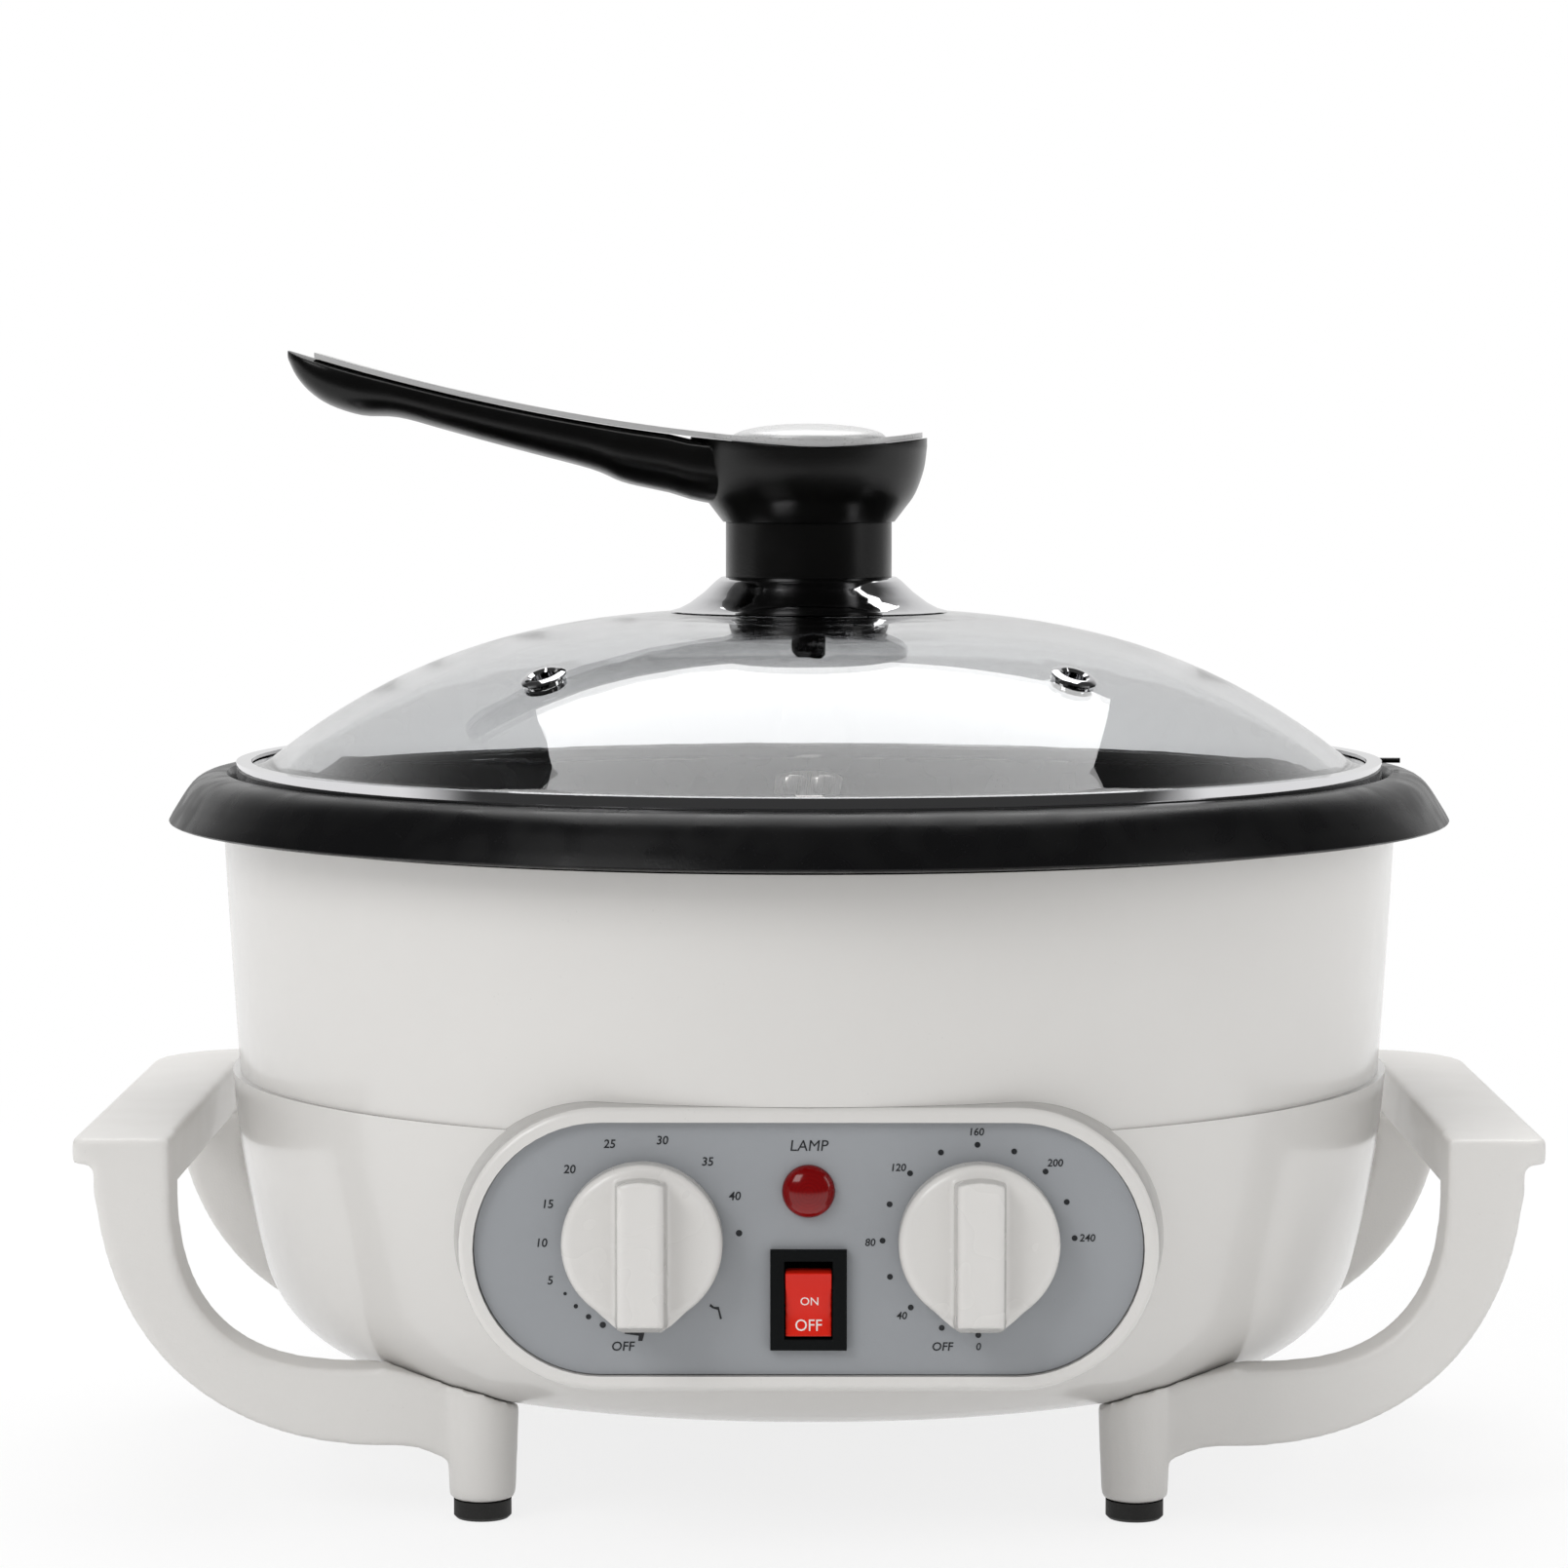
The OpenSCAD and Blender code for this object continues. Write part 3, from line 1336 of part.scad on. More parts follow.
module handle_flange() {
    low = dome_height(flange_r) + fit_gap;
    skin = 0.8;
    outer = [[flange_r, low], [flange_r - 2, low + 0.55], [flange_r - 4.2, low + 1.7],
        [neck_r + 4.6, neck_z - 3.2], [neck_r + 2.2, neck_z - 0.9], [neck_r + 1, neck_z]];
    color(chrome)
        rotate_extrude()
            polygon(concat(
                outer,
                [[spigot_r + fit_gap, neck_z], [spigot_r + fit_gap, neck_z - skin],
                 [neck_r + 0.4, neck_z - skin], [neck_r + 1.4, neck_z - 1.6]],
                [for (i = [3:-1:2]) outer[i] - [0.5, 0.75]],
                [[flange_r - 2.6, low + 0.12], [flange_r - 1.5, low]]));
}

module handle_gasket() {
    color(rubber_black)
        difference() {
            rod(spigot_r - 0.5, dome_top_z + 0.1, dome_top_z + gasket_t);
            rod(lid_screw_r + 1, dome_top_z, dome_top_z + 3);
        }
}

module handle_washer() {
    color(chrome)
        difference() {
            rod(washer_r, under_glass_z - washer_t, under_glass_z);
            rod(lid_screw_r + hole_gap, under_glass_z - 3, under_glass_z + 1);
        }
}

module handle_screw() {
    low = under_glass_z - washer_t - 0.05;
    color(black_plastic) {
        rod(lid_screw_r, low - 0.5, screw_top_z - 1);
        rotate_extrude()
            polygon([[0, low], [3.6, low], [3.6, low - 2.8], [2.6, low - 4], [0, low - 4]]);
    }
}

module handle_insert() {
    color(brass)
        difference() {
            rod(4.4, head_z + 0.1, screw_top_z);
            rod(lid_screw_r + run_gap, head_z - 1, screw_top_z + 1);
        }
}

module handle_neck() {
    color(black_plastic)
        difference() {
            union() {
                rod(neck_r, neck_z, head_z);
                rod(spigot_r, dome_top_z + gasket_t, neck_z + 1);
            }
            rod(lid_screw_r + hole_gap, dome_top_z, head_z + 1);
        }
}

function arm_ring(s) =
    let (x = -arm_reach * s[0], depth = s[1], half = arm_w * s[2] / 2,
         sink = s[0] < 0.25 ? 0.5 : 0, top = handle_top(x) - sink, waist = top - 0.3 * depth)
    [for (k = [0:19]) let (a = 360 * k / 20, c = cos(a), w = sin(a), p = w > 0 ? 0.4 : 0.8)
        [x, -half * sign(c) * pow(abs(c), p),
         waist + (w > 0 ? 0.3 : 0.7) * depth * sign(w) * pow(abs(w), p)]];

module lid_handle() {
    color(black_plastic)
        difference() {
            union() {
                loft([for (s = ARM) arm_ring(s)]);
                difference() {
                    rotate_extrude()
                        polygon([[0, head_z], [neck_r + 1, head_z], [neck_r + 2.6, head_z + 2.4],
                            [neck_r + 5, head_z + 5.6], [head_r - 0.7, head_z + 11],
                            [head_r, head_z + 16], [head_r, saddle_z + 6], [0, saddle_z + 6]]);
                    translate([0, head_r + 5, 0])
                        rotate([90, 0, 0])
                            linear_extrude(2 * head_r + 10)
                                polygon(concat(
                                    [for (i = [-8:8]) let (x = i * (head_r + 1) / 8)
                                        [x, handle_top(x)]],
                                    [[head_r + 2, saddle_z + 9], [-head_r - 2, saddle_z + 9]]));
                }
            }
            rod(4.4 + run_gap, head_z - 1, screw_top_z + 0.2);
            rod(cap_r + fit_gap, pocket_z, saddle_z + 9);
        }
}

module inlay_outline() {
    inset = inlay_inset;
    circle(r = head_r - inset);
    back = [for (s = ARM) if (s[0] < 0.97) [-arm_reach * s[0], arm_w * s[2] / 2 - inset]];
    polygon(concat(back, [for (i = [len(back) - 1:-1:0]) [back[i][0], -back[i][1]]]));
}

module handle_inlay() {
    tip_x = -arm_reach * 0.945;
    n = 24;
    rise = 0.12;
    color(chrome)
        difference() {
            intersection() {
                translate([0, head_r + 1, 0])
                    rotate([90, 0, 0])
                        linear_extrude(2 * head_r + 2)
                            polygon(concat(
                                [for (i = [0:n]) let (x = tip_x + (head_r - tip_x) * i / n)
                                    [x, handle_top(x) + rise]],
                                [for (i = [n:-1:0]) let (x = tip_x + (head_r - tip_x) * i / n)
                                    [x, handle_top(x) + rise + inlay_t]]));
                translate([0, 0, saddle_z - 5]) linear_extrude(50) inlay_outline();
            }
            rod(cap_r + fit_gap, saddle_z - 6, saddle_z + 20);
        }
}

module handle_cap() {
    edge_z = saddle_z + lip_rise * pow(cap_r / head_r, 2) + inlay_t;
    color(chrome)
        rotate_extrude()
            polygon(concat(
                [[0, pocket_z + fit_gap], [cap_r, pocket_z + fit_gap], [cap_r, edge_z]],
                arc(0, edge_z, cap_r, cap_dome_h, 6, 90, 10)));
}

lower_housing();
upper_housing();
base_plate();
base_screws();
left_side_frame();
right_side_frame();
frame_screws();
rubber_feet();
control_panel();
indicator_lens();
indicator_body();
switch_bezel();
switch_rocker();
timer_body();
timer_shaft();
timer_knob();
thermostat_body();
thermostat_shaft();
thermostat_knob();
roasting_pan();
front_scraper();
rear_scraper();
scraper_rivets();
heating_ring();
heater_clamps();
heat_shield();
thermal_cutoff();
tie_rods();
motor_can();
motor_gearbox();
motor_bracket();
motor_screws();
motor_shaft();
shaft_coupling();
drive_spindle();
stirrer_hub();
hub_nut();
stirrer_wires();
cord_bushing();
glass_dome();
lid_band();
lid_pin();
vent_eyelets();
handle_flange();
handle_gasket();
handle_washer();
handle_screw();
handle_insert();
handle_neck();
lid_handle();
handle_inlay();
handle_cap();
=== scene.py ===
import logging
import math
from dataclasses import dataclass, field
from enum import Enum
from typing import Any, Callable, Iterable, Sequence

import bmesh
import bpy
from mathutils import Matrix, Vector


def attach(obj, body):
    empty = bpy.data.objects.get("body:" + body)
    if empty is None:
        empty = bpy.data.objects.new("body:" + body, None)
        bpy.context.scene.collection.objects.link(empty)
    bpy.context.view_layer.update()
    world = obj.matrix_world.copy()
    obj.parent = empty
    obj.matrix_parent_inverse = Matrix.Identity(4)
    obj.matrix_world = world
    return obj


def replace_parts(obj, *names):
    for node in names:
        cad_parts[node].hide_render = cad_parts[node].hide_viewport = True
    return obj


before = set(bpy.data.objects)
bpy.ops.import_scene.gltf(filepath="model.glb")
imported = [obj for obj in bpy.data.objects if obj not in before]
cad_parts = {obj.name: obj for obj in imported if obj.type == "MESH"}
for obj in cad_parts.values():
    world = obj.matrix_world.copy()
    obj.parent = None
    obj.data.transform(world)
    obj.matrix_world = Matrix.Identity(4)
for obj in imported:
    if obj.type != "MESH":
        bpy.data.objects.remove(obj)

LOG = logging.getLogger("bean_roaster")
MM = 0.001
WELD = 0.004 * MM
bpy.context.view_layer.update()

Point = tuple[float, float, float]
Tint = tuple[int, int, int]

UPRIGHT = Matrix.Rotation(math.radians(90), 4, "X")


class Body(Enum):
    """The moving bodies that a piece can ride on."""

    BASE = "base"
    LID = "lid"
    STIRRER = "stirrer"
    TIMER = "timer_dial"
    THERMOSTAT = "thermostat_dial"
    ROCKER = "rocker"


class Slot(Enum):
    """Names of the record's material slots, which the added pieces carry along with their finish.
    """

    WHITE = "white_plastic"
    BLACK = "black_plastic"
    STEEL = "steel"
    LAMP = "lamp_red"
    ROCKER = "rocker_red"
    PAN = "nonstick_black"
    HUB = "hub_grey"
    GLASS = "lid_glass"
    CHROME = "chrome"
    SILVER = "satin_silver"


def linear(tint: Tint, alpha: float = 1.0) -> tuple[float, float, float, float]:
    """Turns a display colour into the linear colour that shaders use.

    Args:
        tint: Red, green and blue from 0 to 255.
        alpha: The fourth value.

    Returns:
        Red, green, blue and alpha from 0 to 1.
    """
    red, green, blue = (c / 12.92 if c <= 0.04045 else ((c + 0.055) / 1.055) ** 2.4
                        for c in (value / 255.0 for value in tint))
    return red, green, blue, alpha


# ---- Node helpers ----


class Graph:
    """A thin wrapper round a node tree that adds and joins nodes."""

    def __init__(self, tree: bpy.types.NodeTree) -> None:
        """Empties the tree and keeps it."""
        self.tree = tree
        tree.nodes.clear()

    def add(self, kind: str, inputs: dict[Any, Any] | None = None,
            **settings: Any) -> bpy.types.Node:
        """Adds a node, sets it up and feeds its inputs.

        Args:
            kind: The node's Blender type.
            inputs: Values or sockets by input name or number.
            settings: Attributes of the node.

        Returns:
            The new node.
        """
        node = self.tree.nodes.new(kind)
        for key, value in settings.items():
            setattr(node, key, value)
        for key, value in (inputs or {}).items():
            socket = node.inputs[key]
            if isinstance(value, bpy.types.NodeSocket):
                self.tree.links.new(value, socket)
            else:
                socket.default_value = value
        return node

    def math(self, operation: str, *terms: Any) -> bpy.types.NodeSocket:
        """Adds a Math node."""
        return self.add("ShaderNodeMath", dict(enumerate(terms)), operation=operation).outputs[0]

    def remap(self, value: Any, low: float, high: float, out_low: Any, out_high: Any,
              smooth: bool = False) -> bpy.types.NodeSocket:
        """Maps a value from one range to another and clamps it."""
        kind = "SMOOTHSTEP" if smooth else "LINEAR"
        return self.add("ShaderNodeMapRange", {0: value, 1: low, 2: high, 3: out_low, 4: out_high},
                        interpolation_type=kind).outputs[0]

    def mix_colour(self, factor: Any, first: Any, second: Any) -> bpy.types.NodeSocket:
        """Mixes two colours."""
        node = self.add("ShaderNodeMix", {0: factor, 6: first, 7: second}, data_type="RGBA")
        return node.outputs[2]

    def bump(self, height: Any, depth: float, strength: float = 1.0) -> bpy.types.Node:
        """Adds a bump."""
        return self.add("ShaderNodeBump", {"Strength": strength, "Distance": depth,
                                           "Height": height})


class Group(Graph):
    """A node group with named sockets."""

    def __init__(self, name: str, kind: str, inputs: dict[str, tuple[str, Any]],
                 outputs: dict[str, str]) -> None:
        """Makes the group and its sockets.

        Args:
            name: The group's name.
            kind: ShaderNodeTree or GeometryNodeTree.
            inputs: Socket type and default by input name.
            outputs: Socket type by output name.
        """
        super().__init__(bpy.data.node_groups.new(name, kind))
        new_socket = self.tree.interface.new_socket
        for label, (kind_of, default) in inputs.items():
            socket = new_socket(label, in_out="INPUT", socket_type="NodeSocket" + kind_of)
            if default is not None:
                socket.default_value = default
        for label, kind_of in outputs.items():
            new_socket(label, in_out="OUTPUT", socket_type="NodeSocket" + kind_of)
        self.read = self.add("NodeGroupInput").outputs
        self.sink = self.add("NodeGroupOutput").inputs

    def close(self, *results: bpy.types.NodeSocket) -> bpy.types.NodeTree:
        """Feeds the group's outputs."""
        for result, socket in zip(results, self.sink):
            self.tree.links.new(result, socket)
        return self.tree

    def print_on(self, points: bpy.types.Node, mark: bpy.types.Node,
                 inputs: dict[str, Any]) -> bpy.types.NodeSocket:
        """Sets a mark on each point in the group's Material.

        Args:
            points: The node that gives the points.
            mark: The node that gives the mark.
            inputs: Turn or scale of the marks, by the names of the inputs.

        Returns:
            The socket of the real geometry.
        """
        marks = self.add("GeometryNodeInstanceOnPoints", {
            "Points": points.outputs[0], "Instance": mark.outputs[0], **inputs})
        real = self.add("GeometryNodeRealizeInstances", {0: marks.outputs[0]})
        return self.add("GeometryNodeSetMaterial", {
            "Geometry": real.outputs[0], "Material": self.read["Material"]}).outputs[0]


class SharedEffects:
    """The shader groups that several finishes use, each built once."""

    def __init__(self) -> None:
        """Builds the groups."""
        self.tone = self._tone_drift()
        self.grain = self._mould_grain()
        self.brush = self._brush_lines()

    @staticmethod
    def _tone_drift() -> bpy.types.NodeTree:
        """Builds a slow change of tone over a surface, with a few small specks.

        Returns:
            The group, whose outputs are Drift and Specks from 0 to 1.
        """
        graph = Group("tone drift", "ShaderNodeTree",
                      {"Vector": ("Vector", None), "Scale": ("Float", 14.0),
                       "Speck Scale": ("Float", 900.0)},
                      {"Drift": "Float", "Specks": "Float"})
        place = graph.read["Vector"]
        noise = graph.add("ShaderNodeTexNoise", {"Vector": place, "Scale": graph.read["Scale"],
                                                 "Detail": 2.0})
        fine = graph.add("ShaderNodeTexVoronoi", {"Vector": place,
                                                  "Scale": graph.read["Speck Scale"]})
        rare = graph.add("ShaderNodeTexNoise", {"Vector": place, "Scale": 160.0})
        near = graph.remap(fine.outputs[0], 0.08, 0.2, 1.0, 0.0)
        return graph.close(
            graph.remap(noise.outputs[0], 0.3, 0.7, 0.0, 1.0, True),
            graph.math("MULTIPLY", near, graph.remap(rare.outputs[0], 0.62, 0.7, 0.0, 1.0)))

    @staticmethod
    def _mould_grain() -> bpy.types.NodeTree:
        """Builds the fine pitted texture of a moulded or coated surface.

        Returns:
            The group, whose outputs are Height and Gloss from 0 to 1.
        """
        graph = Group("mould grain", "ShaderNodeTree",
                      {"Vector": ("Vector", None), "Scale": ("Float", 2500.0),
                       "Ripple Scale": ("Float", 120.0), "Ripple": ("Float", 0.3)},
                      {"Height": "Float", "Gloss": "Float"})
        place = graph.read["Vector"]
        pits = graph.add("ShaderNodeTexVoronoi", {"Vector": place, "Scale": graph.read["Scale"]},
                         feature="SMOOTH_F1")
        ripple = graph.add("ShaderNodeTexNoise", {
            "Vector": place, "Scale": graph.read["Ripple Scale"], "Detail": 1.0})
        wave = graph.math("MULTIPLY", ripple.outputs[0], graph.read["Ripple"])
        return graph.close(graph.math("ADD", pits.outputs[0], wave),
                           graph.remap(ripple.outputs[0], 0.35, 0.65, 0.0, 1.0, True))

    @staticmethod
    def _brush_lines() -> bpy.types.NodeTree:
        """Builds fine lines along one direction, as brushing or rolling leaves on metal.

        Returns:
            The group, whose outputs are Height and Streaks from 0 to 1.
        """
        graph = Group("brush lines", "ShaderNodeTree",
                      {"Vector": ("Vector", None), "Stretch": ("Vector", None),
                       "Detail": ("Float", 6.0)},
                      {"Height": "Float", "Streaks": "Float"})
        stretched = graph.add("ShaderNodeVectorMath", {0: graph.read[0], 1: graph.read[1]},
                              operation="MULTIPLY")
        lines = graph.add("ShaderNodeTexNoise", {
            "Vector": stretched.outputs[0], "Scale": 1.0, "Detail": graph.read["Detail"],
            "Roughness": 0.7}).outputs[0]
        return graph.close(lines, graph.remap(lines, 0.35, 0.68, 0.0, 1.0))


# ---- Finishes ----


class Surface(Graph):
    """The graph of a material that reads Object coordinates."""

    def __init__(self, name: str) -> None:
        """Makes the material, empty but for its coordinates.

        Args:
            name: The material's name.
        """
        self.material = bpy.data.materials.new(name)
        self.material.use_nodes = True
        super().__init__(self.material.node_tree)
        self.place = self.add("ShaderNodeTexCoord").outputs["Object"]

    def effect(self, group: bpy.types.NodeTree, **inputs: Any) -> Any:
        """Adds a shared shader group."""
        return self.add("ShaderNodeGroup", {"Vector": self.place, **inputs},
                        node_tree=group).outputs

    def noise(self, scale: float, **inputs: Any) -> bpy.types.NodeSocket:
        """Adds a noise texture."""
        return self.add("ShaderNodeTexNoise",
                        {"Vector": self.place, "Scale": scale, **inputs}).outputs[0]


@dataclass(frozen=True)
class Finish:
    """A finish, which becomes one material."""

    name: str

    def material(self, effects: SharedEffects) -> bpy.types.Material:
        """Builds the material.

        Args:
            effects: The shared shader groups.

        Returns:
            The material.
        """
        surface = Surface(self.name)
        shader = surface.add("ShaderNodeBsdfPrincipled", self.inputs(surface, effects))
        surface.add("ShaderNodeOutputMaterial", {"Surface": shader.outputs[0]})
        return surface.material

    def inputs(self, surface: Surface, effects: SharedEffects) -> dict[str, Any]:
        """Builds what feeds the shader. Each kind of finish has its own."""
        raise NotImplementedError


@dataclass(frozen=True)
class Plastic(Finish):
    """A moulded plastic: tone drift, a fine grain, and a gloss that varies a little."""

    tint: Tint
    shade: Tint
    rough: float = 0.3
    rough_spread: float = 0.05
    coat: float = 0.0
    sheen: float = 0.5
    grain_scale: float = 2500.0
    grain_depth: float = 0.00001
    ripple: float = 0.3
    drift_scale: float = 14.0
    soft_edge: float = 0.0
    speck_share: float = 0.15
    speck_tone: float = 0.8

    def inputs(self, surface: Surface, effects: SharedEffects) -> dict[str, Any]:
        """Builds the plastic's tone, gloss and grain.

        Args:
            surface: The material's graph.
            effects: The shared shader groups.

        Returns:
            Values or sockets by the names of the shader's inputs.
        """
        drift, specks = surface.effect(effects.tone, Scale=self.drift_scale)
        height, gloss = surface.effect(effects.grain, Scale=self.grain_scale, Ripple=self.ripple)
        colour = surface.mix_colour(drift, linear(self.tint), linear(self.shade))
        dark = tuple(int(c * self.speck_tone) for c in self.shade)
        colour = surface.mix_colour(surface.math("MULTIPLY", specks, self.speck_share),
                                    colour, linear(dark))
        rough = surface.remap(gloss, 0.0, 1.0, self.rough, self.rough + self.rough_spread)
        bump = surface.bump(height, self.grain_depth)
        if self.soft_edge:
            edge = surface.add("ShaderNodeBevel", {"Radius": self.soft_edge}, samples=4)
            surface.tree.links.new(edge.outputs[0], bump.inputs["Normal"])
        return {"Base Color": colour, "Roughness": rough, "Specular IOR Level": self.sheen,
                "Coat Weight": self.coat, "Coat Roughness": 0.06, "Normal": bump.outputs[0]}


@dataclass(frozen=True)
class Metal(Finish):
    """A metal that is brushed, rolled or polished."""

    tint: Tint
    rough: float = 0.25
    rough_spread: float = 0.15
    stretch: Point = (60.0, 2500.0, 2500.0)
    line_depth: float = 0.000005
    tarnish: Tint = (120, 112, 105)
    tarnish_share: float = 0.15
    tarnish_scale: float = 45.0
    metallic: float = 1.0

    def inputs(self, surface: Surface, effects: SharedEffects) -> dict[str, Any]:
        """Builds the metal's lines and tarnish.

        Args:
            surface: The material's graph.
            effects: The shared shader groups.

        Returns:
            Values or sockets by the names of the shader's inputs.
        """
        height, streaks = surface.effect(effects.brush, Stretch=self.stretch)
        drift = surface.effect(effects.tone, Scale=self.tarnish_scale)[0]
        share = surface.math("MULTIPLY", drift, self.tarnish_share)
        return {"Base Color": surface.mix_colour(share, linear(self.tint), linear(self.tarnish)),
                "Metallic": self.metallic,
                "Roughness": surface.remap(streaks, 0.0, 1.0, self.rough,
                                           self.rough + self.rough_spread),
                "Normal": surface.bump(height, self.line_depth).outputs[0]}


@dataclass(frozen=True)
class NonStickCoat(Finish):
    """A black non-stick coating with fine pale flecks and a soft sheen."""

    tint: Tint = (15, 15, 16)
    fleck: Tint = (44, 44, 46)
    rough: float = 0.24
    rough_spread: float = 0.1
    grain_scale: float = 1800.0
    grain_depth: float = 0.00001
    ripple: float = 0.6
    sheen: float = 0.2
    fleck_scale: float = 1500.0
    sieve_scale: float = 420.0

    def inputs(self, surface: Surface, effects: SharedEffects) -> dict[str, Any]:
        """Builds the coat's grain and flecks.

        Args:
            surface: The material's graph.
            effects: The shared shader groups.

        Returns:
            Values or sockets by the names of the shader's inputs.
        """
        height, gloss = surface.effect(effects.grain, Scale=self.grain_scale, Ripple=self.ripple)
        flecks = surface.add("ShaderNodeTexVoronoi", {"Vector": surface.place,
                                                      "Scale": self.fleck_scale}).outputs[0]
        dot = surface.math("MULTIPLY", surface.remap(flecks, 0.1, 0.22, 1.0, 0.0),
                           surface.remap(surface.noise(self.sieve_scale), 0.52, 0.6, 0.0, 0.35))
        return {"Base Color": surface.mix_colour(dot, linear(self.tint), linear(self.fleck)),
                "Roughness": surface.remap(gloss, 0.0, 1.0, self.rough,
                                           self.rough + self.rough_spread),
                "Specular IOR Level": self.sheen,
                "Normal": surface.bump(height, self.grain_depth).outputs[0]}


@dataclass(frozen=True)
class ClearGlass(Finish):
    """Clear tempered glass with a very slight waviness."""

    tint: Tint = (242, 243, 244)
    ior: float = 1.55
    wave_scale: float = 25.0
    wave_depth: float = 0.00006
    wave_share: float = 0.25
    dust_scale: float = 700.0

    def inputs(self, surface: Surface, effects: SharedEffects) -> dict[str, Any]:
        """Builds the glass's waves and faint dust.

        Args:
            surface: The material's graph.
            effects: The shared shader groups; not used.

        Returns:
            Values or sockets by the names of the shader's inputs.
        """
        wave = surface.noise(self.wave_scale, Detail=0.0)
        dust = surface.noise(self.dust_scale, Detail=2.0)
        bump = surface.bump(wave, self.wave_depth, self.wave_share)
        return {"Base Color": linear(self.tint), "IOR": self.ior, "Transmission Weight": 1.0,
                "Roughness": surface.remap(dust, 0.6, 0.75, 0.0, 0.03),
                "Normal": bump.outputs[0]}


@dataclass(frozen=True)
class RedLens(Finish):
    """A deep red lens with a painted highlight at its lower edge, and fine rings moulded inside.
    """

    centre: Point
    deep: Tint = (116, 0, 3)
    # Colour of the painted highlight at the lens's lower edge.
    highlight_red: Tint = (150, 12, 10)
    ring_scale: float = 9000.0
    ring_share: float = 0.08

    def inputs(self, surface: Surface, effects: SharedEffects) -> dict[str, Any]:
        """Builds the lens's rings and the painted highlight at its lower edge.

        Args:
            surface: The material's graph.
            effects: The shared shader groups.

        Returns:
            Values or sockets by the names of the shader's inputs.
        """
        math_node = surface.math
        local = surface.add("ShaderNodeMapping", {
            "Vector": surface.place, "Location": tuple(-c for c in self.centre)})
        across, _, up = surface.add("ShaderNodeSeparateXYZ", {0: local.outputs[0]}).outputs
        radius = math_node("SQRT", math_node("ADD", math_node("POWER", across, 2.0),
                                             math_node("POWER", up, 2.0)))
        wave = math_node("SINE", math_node("MULTIPLY", radius, self.ring_scale))
        rings = math_node("MULTIPLY", math_node("ADD", wave, 1.0), self.ring_share)
        # Painted highlight: the colour turns lighter towards the lens's lower edge.
        low = surface.remap(up, -0.0042, -0.0012, 0.7, 0.0, True)
        share = math_node("ADD", math_node("MULTIPLY", low, 0.8), rings)
        drift = surface.effect(effects.tone)[0]
        return {"Base Color": surface.mix_colour(share, linear(self.deep), linear(self.highlight_red)),
                "Roughness": surface.remap(drift, 0.0, 1.0, 0.12, 0.2),
                "Specular IOR Level": 0.3, "Coat Weight": 0.4, "Coat Roughness": 0.04}


@dataclass(frozen=True)
class Print(Finish):
    """Screen-printed ink, slightly uneven in cover."""

    tint: Tint
    worn: Tint
    cover_scale: float = 2600.0

    def inputs(self, surface: Surface, effects: SharedEffects) -> dict[str, Any]:
        """Builds the ink's uneven cover.

        Args:
            surface: The material's graph.
            effects: The shared shader groups; not used.

        Returns:
            Values or sockets by the names of the shader's inputs.
        """
        cover_noise = surface.noise(self.cover_scale, Detail=3.0)
        share = surface.remap(cover_noise, 0.5, 0.75, 0.0, 0.5)
        return {"Base Color": surface.mix_colour(share, linear(self.tint), linear(self.worn)),
                "Roughness": surface.remap(cover_noise, 0.3, 0.7, 0.35, 0.5)}


@dataclass
class Finishes:
    """Every finish of the roaster, turned into a material when first asked for."""

    effects: SharedEffects = field(default_factory=SharedEffects)
    made: dict[str, bpy.types.Material] = field(default_factory=dict)

    def get(self, finish: Finish) -> bpy.types.Material:
        """Returns a finish's material, built once."""
        if finish.name not in self.made:
            self.made[finish.name] = finish.material(self.effects)
        return self.made[finish.name]


HOUSING_WHITE = Plastic("housing white", (225, 223, 220), (221, 219, 216), rough=0.2,
                        coat=0.35, ripple=0.5, drift_scale=9.0)
FRAME_WHITE = Plastic("frame white", (226, 224, 221), (221, 219, 216), rough=0.34,
                      grain_depth=0.00002)
KNOB_WHITE = Plastic("knob white", (222, 220, 217), (221, 219, 216), rough=0.26,
                     rough_spread=0.02, coat=0.2, grain_depth=0.000006, drift_scale=40.0)
PANEL_GREY = Plastic("panel grey", (157, 160, 164), (153, 156, 160), rough=0.38,
                     grain_scale=3200.0, grain_depth=0.000012, drift_scale=24.0)
SATIN_BLACK = Plastic("satin black", (11, 11, 10), (8, 8, 8), rough=0.22, sheen=0.36,
                      grain_depth=0.00001, soft_edge=0.0005)
RUBBER_BLACK = Plastic("rubber black", (19, 18, 16), (28, 27, 25), rough=0.62,
                       grain_depth=0.00004)
SWITCH_BLACK = Plastic("switch black", (10, 13, 14), (8, 11, 12), rough=0.45, sheen=0.14,
                       grain_depth=0.00002, soft_edge=0.0003)
ROCKER_RED = Plastic("rocker red", (224, 36, 18), (214, 32, 16), rough=0.22, sheen=0.3)
HUB_GREY = Plastic("hub grey", (74, 78, 83), (66, 70, 75), rough=0.42, grain_depth=0.00003,
                   soft_edge=0.0006)
CERAMIC_CREAM = Plastic("terminal cream", (205, 196, 176), (190, 180, 158), rough=0.6)
CHROME = Metal("polished chrome", (218, 218, 220), rough=0.03, rough_spread=0.03,
               stretch=(400.0, 400.0, 400.0), line_depth=0.0000005, tarnish_share=0.04)
BRUSHED_STEEL = Metal("brushed steel", (205, 200, 196), rough=0.24,
                      stretch=(2600.0, 70.0, 70.0))
WIRE_STEEL = Metal("heat-tinted wire", (200, 176, 140), rough=0.28, tarnish=(138, 98, 60),
                   tarnish_share=0.5)
ZINC_STEEL = Metal("zinc-plated steel", (190, 192, 195), rough=0.32, rough_spread=0.2,
                   stretch=(220.0, 220.0, 220.0), tarnish_share=0.25)
SATIN_SILVER = Metal("satin silver", (206, 206, 206), rough=0.26, rough_spread=0.08,
                     stretch=(30.0, 2200.0, 2200.0), line_depth=0.000001,
                     tarnish_share=0.04, metallic=0.25)
